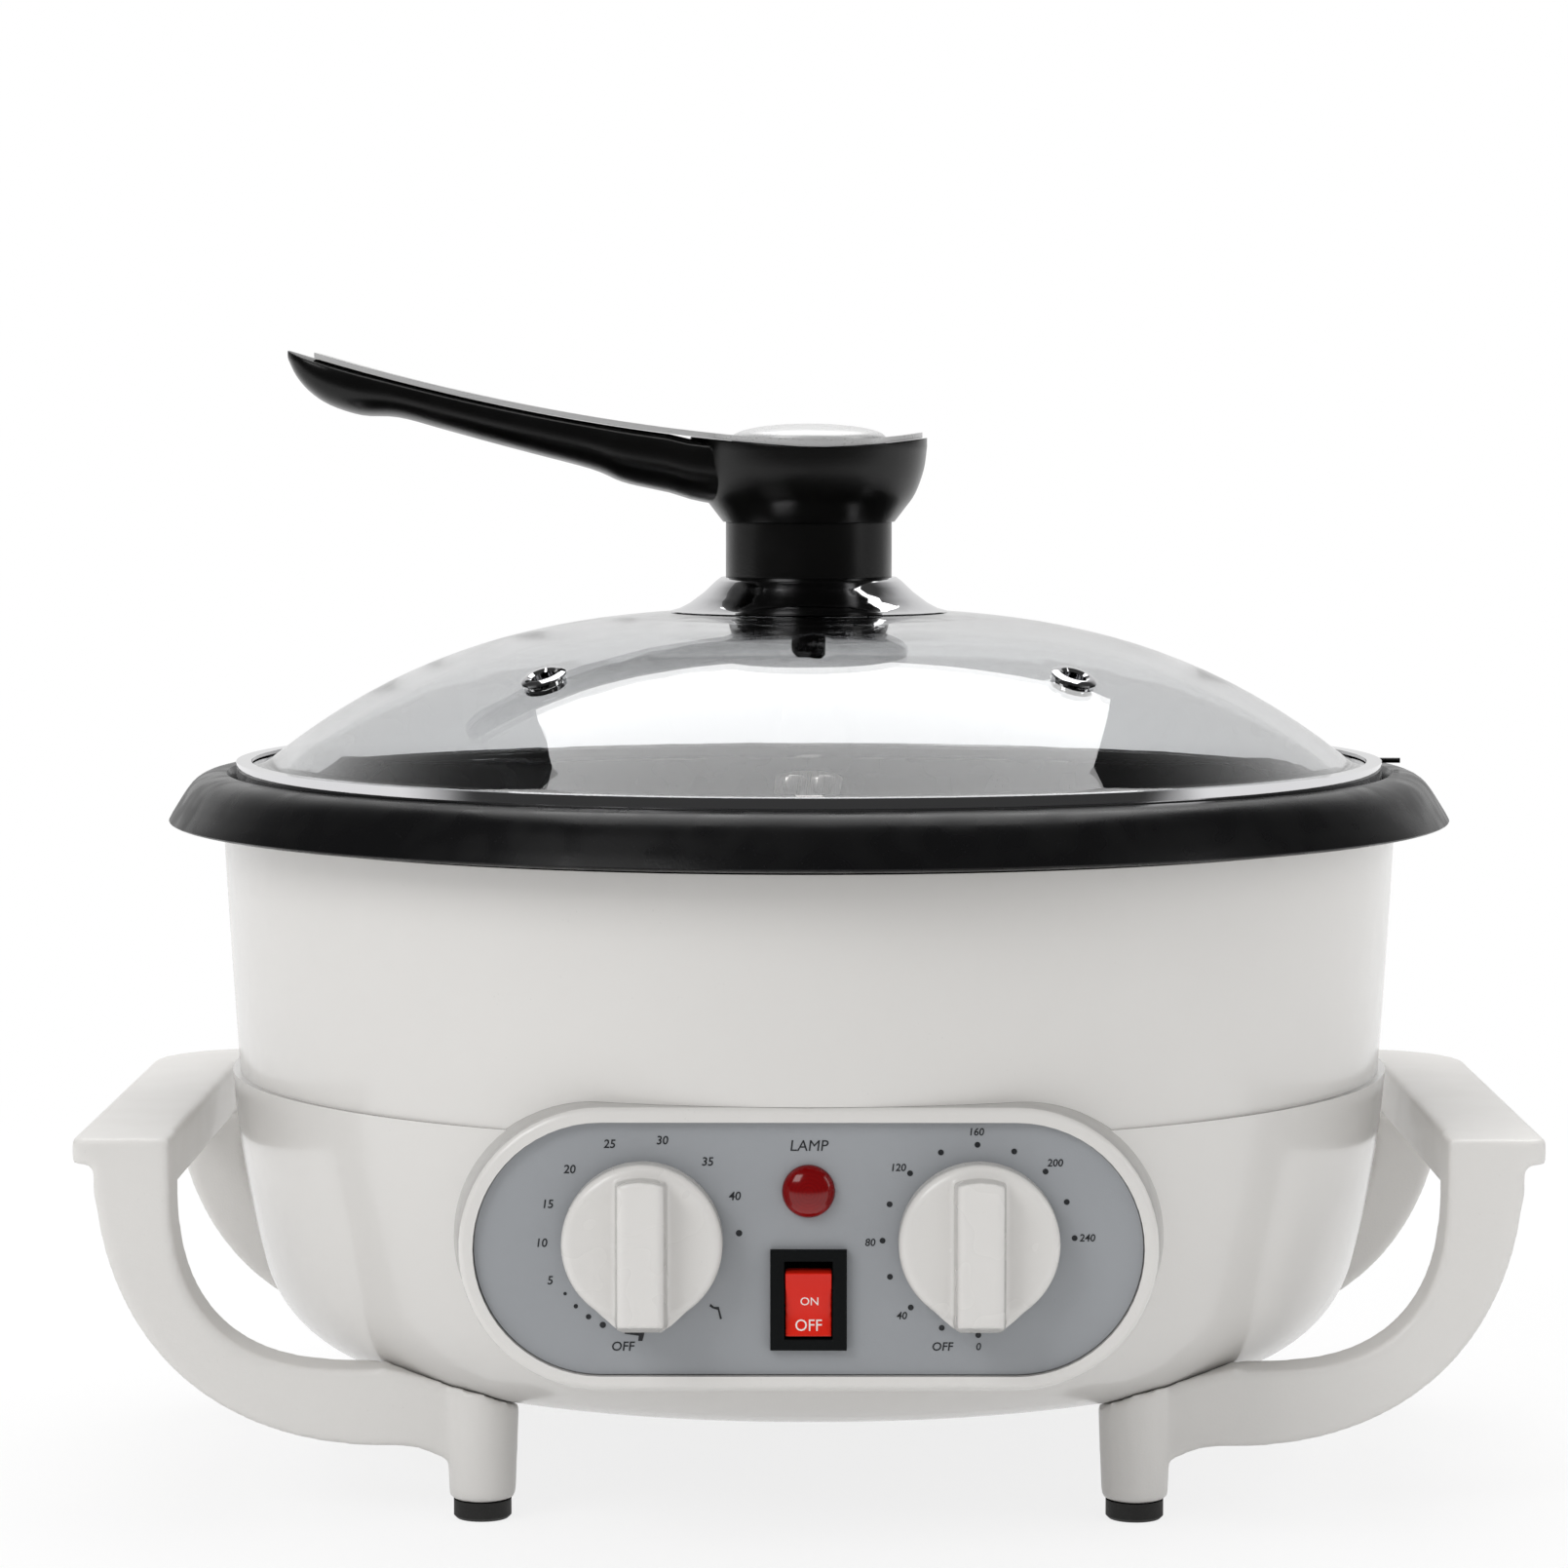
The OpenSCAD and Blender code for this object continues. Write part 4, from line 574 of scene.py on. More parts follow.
BRASS = Metal("turned brass", (212, 178, 104), rough=0.2, stretch=(90.0, 90.0, 3000.0))
PAN_COAT = NonStickCoat("non-stick coat")
DOME_GLASS = ClearGlass("dome glass")
DIAL_INK = Print("dial ink", (26, 28, 32), (70, 73, 78))
WORD_WHITE = Print("word white", (240, 238, 234), (232, 205, 198))
GROOVE_GREY = Print("groove grey", (168, 167, 163), (186, 185, 181))


# ---- Mesh helpers ----


def link_new(name: str, data: Any) -> bpy.types.Object:
    """Makes an object and links it to the scene.

    Args:
        name: The object's name.
        data: Its mesh, curve, light or camera.

    Returns:
        The object.
    """
    obj = bpy.data.objects.new(name, data)
    bpy.context.scene.collection.objects.link(obj)
    return obj


def plain_mesh(holder: bpy.types.Object, name: str) -> bpy.types.Mesh:
    """Turns an object into a mesh with its modifiers run, and removes the object.

    Args:
        holder: The object, which is used up.
        name: The mesh's name.

    Returns:
        The new mesh.
    """
    view = bpy.context.evaluated_depsgraph_get()
    mesh = bpy.data.meshes.new_from_object(holder.evaluated_get(view))
    mesh.name = name
    holder.modifiers.clear()
    bpy.data.objects.remove(holder)
    return mesh


def mesh_of(shape: bmesh.types.BMesh, name: str) -> bpy.types.Mesh:
    """Turns a shape into a mesh.

    Args:
        shape: The shape, which is used up.
        name: The mesh's name.

    Returns:
        The new mesh.
    """
    mesh = bpy.data.meshes.new(name)
    shape.to_mesh(mesh)
    shape.free()
    return mesh


@dataclass
class Piece:
    """A finished mesh with the body that carries it and the slot of its finish."""

    name: str
    mesh: bpy.types.Mesh
    body: Body
    slot: Slot
    finish: Finish

    def place(self, finishes: Finishes) -> bpy.types.Object:
        """Links the piece to the scene, gives it its finish and parents it to its body.

        Args:
            finishes: Where its material comes from.

        Returns:
            The new object.
        """
        obj = link_new(self.name, self.mesh)
        obj.data.materials.clear()
        obj.data.materials.append(finishes.get(self.finish))
        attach(obj, self.body.value)
        LOG.info("%s: %d faces on %s", self.name, len(obj.data.polygons), self.body.value)
        return obj


def text_mesh(words: str, size: float, depth: float, shear: float = 0.0,
              weight: float = 0.0) -> bpy.types.Mesh:
    """Makes a solid word, centred on the origin in the XY plane.

    Args:
        words: What it says.
        size: Height of the font in metres.
        depth: Thickness in metres.
        shear: Slant of the letters.
        weight: How far the strokes are thickened on each side.

    Returns:
        A mesh whose front faces +Z.
    """
    curve = bpy.data.curves.new("word", "FONT")
    curve.body = words
    curve.size = size
    curve.extrude = depth / 2
    curve.shear = shear
    curve.offset = weight
    curve.align_x = "CENTER"
    curve.align_y = "CENTER"
    curve.resolution_u = 3
    mesh = plain_mesh(link_new("word", curve), "word")
    bpy.data.curves.remove(curve)
    return mesh


def join_meshes(name: str, parts: Iterable[tuple[bpy.types.Mesh, Matrix]]) -> bpy.types.Mesh:
    """Joins meshes into one.

    Args:
        name: The new mesh's name.
        parts: Each mesh and where it goes.

    Returns:
        The joined mesh.
    """
    joined = bmesh.new()
    for mesh, matrix in parts:
        mesh.transform(matrix)
        joined.from_mesh(mesh)
        bpy.data.meshes.remove(mesh)
    return mesh_of(joined, name)


def prism(outline: Sequence[tuple[float, float]], depth: float) -> bpy.types.Mesh:
    """Makes a flat prism from an outline in the XY plane, centred on Z.

    Args:
        outline: Corners, counter-clockwise.
        depth: Thickness.

    Returns:
        The mesh.
    """
    shape = bmesh.new()
    low = [shape.verts.new((x, y, -depth / 2)) for x, y in outline]
    high = [shape.verts.new((x, y, depth / 2)) for x, y in outline]
    count = len(outline)
    shape.faces.new(list(reversed(low)))
    shape.faces.new(high)
    for i in range(count):
        j = (i + 1) % count
        shape.faces.new((low[i], low[j], high[j], high[i]))
    return mesh_of(shape, "prism")


def finish_mesh(mesh: bpy.types.Mesh, *modifiers: tuple[str, dict[str, Any]]) -> bpy.types.Mesh:
    """Runs a mesh through modifiers and returns the plain result.

    Args:
        mesh: The mesh, which is used up.
        modifiers: Type and settings of each modifier, in order.

    Returns:
        The new mesh.
    """
    holder = link_new("holder", mesh)
    for kind, settings in modifiers:
        modifier = holder.modifiers.new(kind.lower(), kind)
        for key, value in settings.items():
            setattr(modifier, key, value)
    result = plain_mesh(holder, mesh.name)
    bpy.data.meshes.remove(mesh)
    return result


def shade(mesh: bpy.types.Mesh, angle: float) -> bpy.types.Mesh:
    """Shades a mesh smooth but for its sharp edges, with the large faces kept flat.

    Args:
        mesh: The mesh, which is used up.
        angle: From how many degrees on an edge is sharp.

    Returns:
        The shaded mesh.
    """
    mesh.shade_smooth()
    mesh.set_sharp_from_angle(angle=math.radians(angle))
    return finish_mesh(mesh, ("WEIGHTED_NORMAL", {"keep_sharp": True, "weight": 50}))


@dataclass(frozen=True)
class Softening:
    """How far a moulded piece's edges are rounded.

    Attributes:
        cell: Size of the cells that the piece is rebuilt from.
        rounds: How often the rebuilt piece is smoothed.
        flat: Up to which angle in degrees faces are joined to one, or 0 for none.
    """

    cell: float
    rounds: int
    flat: float = 0.4


def skin(node: str, angle: float = 30.0, soft: Softening | None = None,
         bend: Callable[[Vector], Vector] | None = None,
         cut: bpy.types.Mesh | None = None) -> bpy.types.Mesh:
    """Copies a solid, joins its loose triangles and shades its curves smooth.

    Args:
        node: The solid's name.
        angle: From how many degrees on an edge is sharp.
        soft: How the edges are rounded, where they are.
        bend: Where each point of the copy goes, where its form is drawn finer.
        cut: What is cut off the copy, and is used up.

    Returns:
        The new mesh.
    """
    shape = bmesh.new()
    shape.from_mesh(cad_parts[node].data)
    bmesh.ops.remove_doubles(shape, verts=shape.verts, dist=WELD)
    mesh = mesh_of(shape, node + "_skin")
    for layer in ("custom_normal", "sharp_face", "sharp_edge"):
        if layer in mesh.attributes:
            mesh.attributes.remove(mesh.attributes[layer])
    if cut:
        mesh = carve(mesh, "DIFFERENCE", cut)
    if bend:
        for vertex in mesh.vertices:
            vertex.co = bend(vertex.co)
    if soft:
        mesh = finish_mesh(
            mesh, ("REMESH", {"mode": "VOXEL", "voxel_size": soft.cell}),
            ("SMOOTH", {"factor": 0.5, "iterations": soft.rounds}))
    if soft and soft.flat:
        mesh = finish_mesh(mesh, ("DECIMATE", {"decimate_type": "DISSOLVE",
                                               "angle_limit": math.radians(soft.flat)}))
    return shade(mesh, angle)


def cover(finishes: Finishes, finish: Finish, body: Body, slot: Slot, *nodes: str,
          angle: float = 30.0, soft: Softening | None = None,
          bend: Callable[[Vector], Vector] | None = None) -> None:
    """Replaces solids by smooth copies in their finish.

    Args:
        finishes: Where the material comes from.
        finish: The finish.
        body: The body that carries them.
        slot: The slot of their finish.
        nodes: The solids' names.
        angle: From how many degrees on an edge is sharp.
        soft: How the edges are rounded, where they are.
        bend: Where each point of a copy goes, where its form is drawn finer.
    """
    for name in nodes:
        mesh = skin(name, angle, soft, bend)
        piece = Piece(name + "_skin", mesh, body, slot, finish).place(finishes)
        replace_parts(piece, name)


def dress(finishes: Finishes, finish: Finish, *nodes: str) -> None:
    """Gives solids from model.glb their finish.

    Args:
        finishes: Where the material comes from.
        finish: The finish.
        nodes: The solids' names.
    """
    material = finishes.get(finish)
    for name in nodes:
        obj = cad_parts[name]
        if not obj.material_slots:
            obj.data.materials.append(material)
        for slot in obj.material_slots:
            slot.material = material
    LOG.info("%s on %s", finish.name, ", ".join(nodes))


def spline_rows(rows: Sequence[Point], steps: int) -> list[Point]:
    """Runs a smooth line through rows of three values.

    Args:
        rows: The rows in order.
        steps: How many steps each stretch gets.

    Returns:
        The finer rows, the given ones among them.
    """
    result: list[Point] = []
    for i in range(len(rows) - 1):
        around = [Vector(rows[min(max(j, 0), len(rows) - 1)]) for j in range(i - 1, i + 3)]
        before, start, end, after = around
        for k in range(steps):
            t = k / steps
            point = 0.5 * (2.0 * start + (end - before) * t
                           + (2.0 * before - 5.0 * start + 4.0 * end - after) * t * t
                           + (3.0 * start - before - 3.0 * end + after) * t ** 3)
            result.append(tuple(point))
    result.append(tuple(rows[-1]))
    return result


def close_loft(shape: bmesh.types.BMesh, rings: Sequence[Sequence[bmesh.types.BMVert]]) -> None:
    """Joins equal rings by faces and closes both ends.

    Args:
        shape: The mesh that holds the rings.
        rings: The rings in order.
    """
    count = len(rings[0])
    for near, far in zip(rings, rings[1:]):
        for i in range(count):
            j = (i + 1) % count
            shape.faces.new((near[i], near[j], far[j], far[i]))
    shape.faces.new(list(reversed(rings[0])))
    shape.faces.new(list(rings[-1]))
    bmesh.ops.recalc_face_normals(shape, faces=shape.faces)


def turned(name: str, outline: Sequence[tuple[float, float]], count: int) -> bpy.types.Mesh:
    """Turns an outline of radius and height about Z.

    Args:
        name: The mesh's name.
        outline: From the axis at the bottom to the axis at the top.
        count: Steps round the axis.

    Returns:
        A closed mesh.
    """
    shape = bmesh.new()
    low = shape.verts.new((0.0, 0.0, outline[0][1]))
    high = shape.verts.new((0.0, 0.0, outline[-1][1]))
    rings = [[shape.verts.new((r * math.cos(math.tau * k / count),
                               r * math.sin(math.tau * k / count), z)) for k in range(count)]
             for r, z in outline[1:-1]]
    for k in range(count):
        m = (k + 1) % count
        shape.faces.new((low, rings[0][m], rings[0][k]))
        shape.faces.new((high, rings[-1][k], rings[-1][m]))
        for near, far in zip(rings, rings[1:]):
            shape.faces.new((near[k], near[m], far[m], far[k]))
    return mesh_of(shape, name)


def carve(mesh: bpy.types.Mesh, operation: str, tool: bpy.types.Mesh) -> bpy.types.Mesh:
    """Joins a mesh with another or cuts it by the other.

    Args:
        mesh: The mesh, which is used up.
        operation: UNION or DIFFERENCE.
        tool: The other mesh, which is used up.

    Returns:
        The new mesh.
    """
    other = link_new("tool", tool)
    result = finish_mesh(mesh, ("BOOLEAN", {"operation": operation, "object": other,
                                            "solver": "EXACT"}))
    bpy.data.objects.remove(other)
    bpy.data.meshes.remove(tool)
    return result


# ---- Geometry nodes ----


def evaluate_tree(tree: bpy.types.NodeTree, values: dict[str, Any], name: str) -> bpy.types.Mesh:
    """Runs a geometry tree with its inputs set and returns a plain mesh.

    Args:
        tree: The geometry tree.
        values: Input values by socket name.
        name: The mesh's name.

    Returns:
        The evaluated mesh.
    """
    seed = bpy.data.meshes.new(name + " seed")
    holder = link_new(name, seed)
    modifier = holder.modifiers.new("shape", "NODES")
    modifier.node_group = tree
    for item in tree.interface.items_tree:
        if item.item_type == "SOCKET" and item.in_out == "INPUT" and item.name in values:
            modifier[item.identifier] = values[item.name]
    mesh = plain_mesh(holder, name)
    bpy.data.meshes.remove(seed)
    return mesh


def dot_ring_tree() -> bpy.types.NodeTree:
    """Builds the tree that prints a row of dots on an arc of a dial.

    The dots lie in the XZ plane, clockwise from straight down seen from the front.

    Returns:
        The geometry tree.
    """
    graph = Group("dial dots", "GeometryNodeTree",
                  {"Geometry": ("Geometry", None), "Count": ("Int", 1),
                   "Ring Radius": ("Float", 18.0 * MM), "First Angle": ("Float", 0.0),
                   "Step Angle": ("Float", 0.0), "Dot Radius": ("Float", 0.5 * MM),
                   "Growth": ("Float", 0.0), "Thickness": ("Float", 0.05 * MM),
                   "Centre": ("Vector", None), "Material": ("Material", None)},
                  {"Geometry": "Geometry"})
    read = graph.read
    row = graph.add("GeometryNodeMeshLine", {"Count": read["Count"]})
    index = graph.add("GeometryNodeInputIndex").outputs[0]
    turn = graph.math("ADD", read["First Angle"],
                      graph.math("MULTIPLY", index, read["Step Angle"]))
    reach = graph.math("MULTIPLY", read["Ring Radius"], -1.0)
    spot = graph.add("ShaderNodeCombineXYZ", {
        0: graph.math("MULTIPLY", reach, graph.math("SINE", turn)),
        2: graph.math("MULTIPLY", reach, graph.math("COSINE", turn))})
    moved = graph.add("ShaderNodeVectorMath", {0: spot.outputs[0], 1: read["Centre"]},
                      operation="ADD")
    placed = graph.add("GeometryNodeSetPosition", {"Geometry": row.outputs[0],
                                                   "Position": moved.outputs[0]})
    dot = graph.add("GeometryNodeMeshCylinder", {"Vertices": 20, "Radius": 1.0,
                                                 "Depth": read["Thickness"]})
    upright = graph.add("GeometryNodeTransform", {"Geometry": dot.outputs[0],
                                                  "Rotation": (math.pi / 2, 0.0, 0.0)})
    size = graph.math("ADD", read["Dot Radius"],
                      graph.math("MULTIPLY", index, read["Growth"]))
    scale = graph.add("ShaderNodeCombineXYZ", {0: size, 1: 1.0, 2: size})
    return graph.close(graph.print_on(placed, upright, {"Scale": scale.outputs[0]}))


def cross_ring_tree() -> bpy.types.NodeTree:
    """Builds the tree that sets a cross recess into each screw of a ring.

    Returns:
        The geometry tree.
    """
    graph = Group("screw crosses", "GeometryNodeTree",
                  {"Geometry": ("Geometry", None), "Count": ("Int", 1),
                   "Ring Radius": ("Float", 70.0 * MM), "Span": ("Float", 3.0 * MM),
                   "Blade": ("Float", 0.6 * MM), "Thickness": ("Float", 0.05 * MM),
                   "Height": ("Float", 0.0), "Material": ("Material", None)},
                  {"Geometry": "Geometry"})
    read = graph.read
    ring = graph.add("GeometryNodeMeshCircle", {"Vertices": read["Count"],
                                                "Radius": read["Ring Radius"]})
    lift = graph.add("ShaderNodeCombineXYZ", {2: read["Height"]})
    placed = graph.add("GeometryNodeTransform", {"Geometry": ring.outputs[0],
                                                 "Translation": lift.outputs[0]})
    cross = graph.add("GeometryNodeJoinGeometry")
    for along, across in (("Span", "Blade"), ("Blade", "Span")):
        size = graph.add("ShaderNodeCombineXYZ", {0: read[along], 1: read[across],
                                                  2: read["Thickness"]})
        bar = graph.add("GeometryNodeMeshCube", {"Size": size.outputs[0]})
        graph.tree.links.new(bar.outputs[0], cross.inputs[0])
    turn = graph.add("FunctionNodeRandomValue", {"Seed": 7, 2: 0.0, 3: 1.5}, data_type="FLOAT")
    angle = graph.add("ShaderNodeCombineXYZ", {2: turn.outputs[1]})
    return graph.close(graph.print_on(placed, cross, {"Rotation": angle.outputs[0]}))


# ---- Sub-assemblies ----


@dataclass
class Housing:
    """The white shell with its base plate and what is fixed under it."""

    screw_count: int = 6
    screw_ring: float = 72.795 * MM
    screw_face: float = 21.78 * MM
    recess_span: float = 2.9 * MM
    recess_blade: float = 0.6 * MM
    recess_thick: float = 0.06 * MM
    wall_top: float = 130.0 * MM
    wall_rise: float = 4.0 * MM
    rise_from: float = 112.0 * MM

    def _to_rim(self, point: Vector) -> Vector:
        """Draws the wall's top edge up to the rim's thin lip."""
        share = (point.z - self.rise_from) / (self.wall_top - self.rise_from)
        return Vector((point.x, point.y, point.z + self.wall_rise * min(max(share, 0.0), 1.0)))

    def build(self, finishes: Finishes) -> None:
        """Dresses the shell and sets the cross recesses into the base screws.

        Args:
            finishes: The roaster's finishes.
        """
        cover(finishes, HOUSING_WHITE, Body.BASE, Slot.WHITE, "lower_housing")
        cover(finishes, HOUSING_WHITE, Body.BASE, Slot.WHITE, "upper_housing", bend=self._to_rim)
        dress(finishes, FRAME_WHITE, "base_plate")
        dress(finishes, ZINC_STEEL, "base_screws", "frame_screws")
        dress(finishes, RUBBER_BLACK, "cord_bushing")
        mesh = evaluate_tree(cross_ring_tree(), {
            "Count": self.screw_count, "Ring Radius": self.screw_ring,
            "Span": self.recess_span, "Blade": self.recess_blade,
            "Thickness": self.recess_thick, "Height": self.screw_face,
            "Material": finishes.get(DIAL_INK)}, "base_screw_recesses")
        Piece("base_screw_recesses", mesh, Body.BASE, Slot.STEEL, DIAL_INK).place(finishes)


@dataclass
class SideFrames:
    """The two white side frames with grips, brackets, legs and rubber feet."""

    edges: Softening = Softening(0.9 * MM, 6)
    arc_x: float = 85.6 * MM
    arc_z: float = 72.0 * MM
    arc_out: float = 57.0 * MM
    arc_in: float = 41.6 * MM
    swell_in: float = 5.0 * MM
    swell_out: float = 1.6 * MM
    swell_from: float = 4.0 * MM
    frame_length: float = 200.0 * MM
    seat: tuple[tuple[float, float], ...] = ((58.0, 25.5), (68.3, 26.8), (86.3, 31.0),
                                             (86.3, 45.0), (58.0, 45.0))

    def _sweep(self, point: Vector) -> Vector:
        """Swells the bracket's arm out at its lower corner.

        Args:
            point: A point of a frame.

        Returns:
            Where it goes.
        """
        out, down = abs(point.x) - self.arc_x, self.arc_z - point.z
        radius = math.hypot(out, down)
        if out < 0.0 or down < 0.0 or radius < self.arc_in - self.swell_from:
            return point
        across = (radius - self.arc_in) / (self.arc_out - self.arc_in)
        swell = self.swell_in + (self.swell_out - self.swell_in) * min(max(across, 0.0), 1.0)
        scale = swell * (2.0 * out * down / radius ** 2) ** 2 / radius
        side = math.copysign(1.0, point.x)
        return Vector((point.x + side * out * scale, point.y, point.z - down * scale))

    def _seat_cut(self, side: float) -> bpy.types.Mesh:
        """Builds what is cut off between the arm and the shell.

        Args:
            side: -1 for the left frame, 1 for the right one.

        Returns:
            A prism along the frame.
        """
        outline = [(side * x * MM, z * MM) for x, z in self.seat]
        tool = prism(outline if side > 0 else outline[::-1], self.frame_length)
        tool.transform(UPRIGHT)
        return tool

    def build(self, finishes: Finishes) -> None:
        """Dresses the frames and feet.

        Args:
            finishes: The roaster's finishes.
        """
        for name, side in (("left_side_frame", -1.0), ("right_side_frame", 1.0)):
            mesh = skin(name, 50.0, self.edges, self._sweep, self._seat_cut(side))
            piece = Piece(name + "_skin", mesh, Body.BASE, Slot.WHITE, FRAME_WHITE)
            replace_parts(piece.place(finishes), name)
        dress(finishes, RUBBER_BLACK, "rubber_feet")


@dataclass
class ControlPanel:
    """The grey fascia with its printed scales, lamp, rocker and knobs."""

    face_y: float = -121.0 * MM
    knob_z: float = 63.9 * MM
    timer_x: float = -31.6 * MM
    thermostat_x: float = 32.4 * MM
    lamp_z: float = 73.3 * MM
    ink: float = 0.06 * MM
    pivot: Point = (0.0, -118.8 * MM, 52.5 * MM)
    rocker_lean: float = math.radians(10.0)
    rocker_half: float = 6.4 * MM
    rocker_low: float = 3.1 * MM
    rocker_bow: float = 1.5 * MM
    word_depth: float = 0.05 * MM
    word_gap: float = 0.02 * MM
    foot_line: float = -20.6 * MM
    line_half: float = 0.22 * MM
    line_span: tuple[float, float] = (-13.6 * MM, -9.9 * MM)
    line_out: float = 14.73 * MM
    knob_edges: Softening = Softening(0.36 * MM, 8, 0.0)
    rocker_edges: Softening = Softening(0.22 * MM, 6, 0.0)

    def _on_face(self, x: float, z: float) -> Matrix:
        """Returns the turn and move that puts a flat mark on the fascia."""
        return Matrix.Translation((x, self.face_y - self.ink / 2, z)) @ UPRIGHT

    @staticmethod
    def _around(centre_x: float, centre_z: float, radius: float,
                angle: float) -> tuple[float, float]:
        """Finds a place on a dial, clockwise from straight down seen from the front."""
        turn = math.radians(angle)
        return centre_x - radius * math.sin(turn), centre_z - radius * math.cos(turn)

    def _marks(self) -> bpy.types.Mesh:
        """Builds the printed numbers and words of both dials and the lamp's word.

        Returns:
            One joined mesh.
        """
        parts: list[tuple[bpy.types.Mesh, Matrix]] = []
        foot = self.knob_z + self.foot_line

        def write(words: str, x: float, z: float, size: float = 2.3 * MM,
                  weight: float = 0.03 * MM) -> None:
            """Adds a word at a place on the fascia."""
            parts.append((text_mesh(words, size, self.ink, 0.12, weight),
                          self._on_face(x, z)))

        for minutes, angle in zip(range(5, 45, 5), (66, 88, 110.5, 134, 161, 191, 219.5, 244.5)):
            x, z = self._around(self.timer_x, self.knob_z, 19.4 * MM, angle)
            write(str(minutes), x, z)
        write("OFF", self.timer_x - 3.9 * MM, foot, 2.5 * MM)
        wedge = [(-3.6, -17.5), (-3.5, -18.1), (-0.8, -18.5), (-0.9, -19.5), (-0.1, -19.5),
                 (0.3, -17.9), (-1.8, -17.7)]
        tick = [(12.7, -12.8), (13.3, -13.2), (14.3, -13.5), (14.7, -15.3), (15.1, -15.2),
                (14.5, -12.9), (13.6, -12.9), (12.9, -12.3)]
        for sign in (wedge, tick):
            parts.append((prism([(x * MM, y * MM) for x, y in sign], self.ink),
                          self._on_face(self.timer_x, self.knob_z)))
        for degrees, angle in zip(range(40, 280, 40), (45, 88.5, 132, 178.5, 224.5, 269)):
            x, z = self._around(self.thermostat_x, self.knob_z, 20.7 * MM, angle)
            write(str(degrees), x, z, 2.0 * MM)
        write("OFF", self.thermostat_x - 6.9 * MM, foot)
        write("0", self.thermostat_x, foot, 2.0 * MM)
        write("LAMP", 0.0, self.lamp_z + 8.6 * MM, 3.0 * MM, 0.0)
        return join_meshes("scale_marks", parts)

    def _dots(self, finishes: Finishes) -> bpy.types.Mesh:
        """Builds the dots of both dials.

        Args:
            finishes: Where the ink comes from.

        Returns:
            One joined mesh.
        """
        tree = dot_ring_tree()
        shared = {"Thickness": self.ink, "Material": finishes.get(DIAL_INK)}
        # Dial, count, ring radius, first angle, step angle, dot radius, growth
        rows = ((self.thermostat_x, 13, 18.3, 0.0, 22.4, 0.56, 0.0),
                (self.timer_x, 4, 18.1, 55.0, -10.0, 0.34, 0.09),
                (self.timer_x, 1, 18.4, 266.0, 0.0, 0.62, 0.0))
        meshes = [evaluate_tree(tree, {
            "Centre": (x, self.face_y - self.ink / 2, self.knob_z), "Count": count,
            "Ring Radius": ring * MM, "First Angle": math.radians(first),
            "Step Angle": math.radians(step), "Dot Radius": dot * MM, "Growth": growth * MM,
            **shared}, "dots") for x, count, ring, first, step, dot, growth in rows]
        return join_meshes("dial_dots", [(mesh, Matrix.Identity(4)) for mesh in meshes])

    def _rocker_words(self) -> bpy.types.Mesh:
        """Builds ON and OFF, bent to the rocker's hollow face.

        Returns:
            One joined mesh.
        """
        words = (("ON", 2.3, 0.2, 0.2), ("OFF", 3.0, 0.0, -4.4))
        mesh = join_meshes("rocker_words", [
            (text_mesh(word, size * MM, self.word_depth),
             Matrix.Translation((x * MM, up * MM, 0.0))) for word, size, x, up in words])
        lean = Matrix.Rotation(self.rocker_lean, 4, "X")
        onto = Matrix.Translation(self.pivot) @ UPRIGHT @ lean
        for vertex in mesh.vertices:
            x, up, out = vertex.co
            hollow = self.rocker_low + self.rocker_bow * (up / self.rocker_half) ** 2
            vertex.co = onto @ Vector((x, up, hollow + self.word_gap + out))
        return mesh

    def _pointer_line(self, name: str, x: float) -> bpy.types.Mesh:
        """Builds the tinted line in a knob's pointer.

        Args:
            name: The mesh's name.
            x: The knob's place across the panel.

        Returns:
            The mesh.
        """
        half, (low, high) = self.line_half, self.line_span
        mesh = prism([(-half, low), (half, low), (half, high), (-half, high)], self.word_depth)
        mesh.name = name
        mesh.transform(Matrix.Translation((x, self.face_y - self.line_out, self.knob_z))
                       @ UPRIGHT)
        return mesh

    def build(self, finishes: Finishes) -> None:
        """Dresses the panel's solids and adds its printing.

        Args:
            finishes: The roaster's finishes.
        """
        dress(finishes, PANEL_GREY, "control_panel")
        cover(finishes, RedLens("lamp lens", (0.0, self.face_y, self.lamp_z)), Body.BASE,
              Slot.LAMP, "indicator_lens")
        dress(finishes, SWITCH_BLACK, "switch_bezel", "indicator_body", "thermostat_body")
        cover(finishes, ROCKER_RED, Body.ROCKER, Slot.ROCKER, "switch_rocker", angle=50.0,
              soft=self.rocker_edges)
        for knob, body in (("timer_knob", Body.TIMER), ("thermostat_knob", Body.THERMOSTAT)):
            cover(finishes, KNOB_WHITE, body, Slot.WHITE, knob, angle=50.0, soft=self.knob_edges)
        dress(finishes, ZINC_STEEL, "timer_body", "timer_shaft", "thermostat_shaft")
        Piece("scale_marks", self._marks(), Body.BASE, Slot.BLACK, DIAL_INK).place(finishes)
        Piece("dial_dots", self._dots(finishes), Body.BASE, Slot.BLACK, DIAL_INK).place(finishes)
        Piece("rocker_words", self._rocker_words(), Body.ROCKER, Slot.WHITE,
              WORD_WHITE).place(finishes)
        for name, x, body in (("timer_pointer_line", self.timer_x, Body.TIMER),
                              ("thermostat_pointer_line", self.thermostat_x, Body.THERMOSTAT)):
            Piece(name, self._pointer_line(name, x), body, Slot.WHITE,
                  GROOVE_GREY).place(finishes)


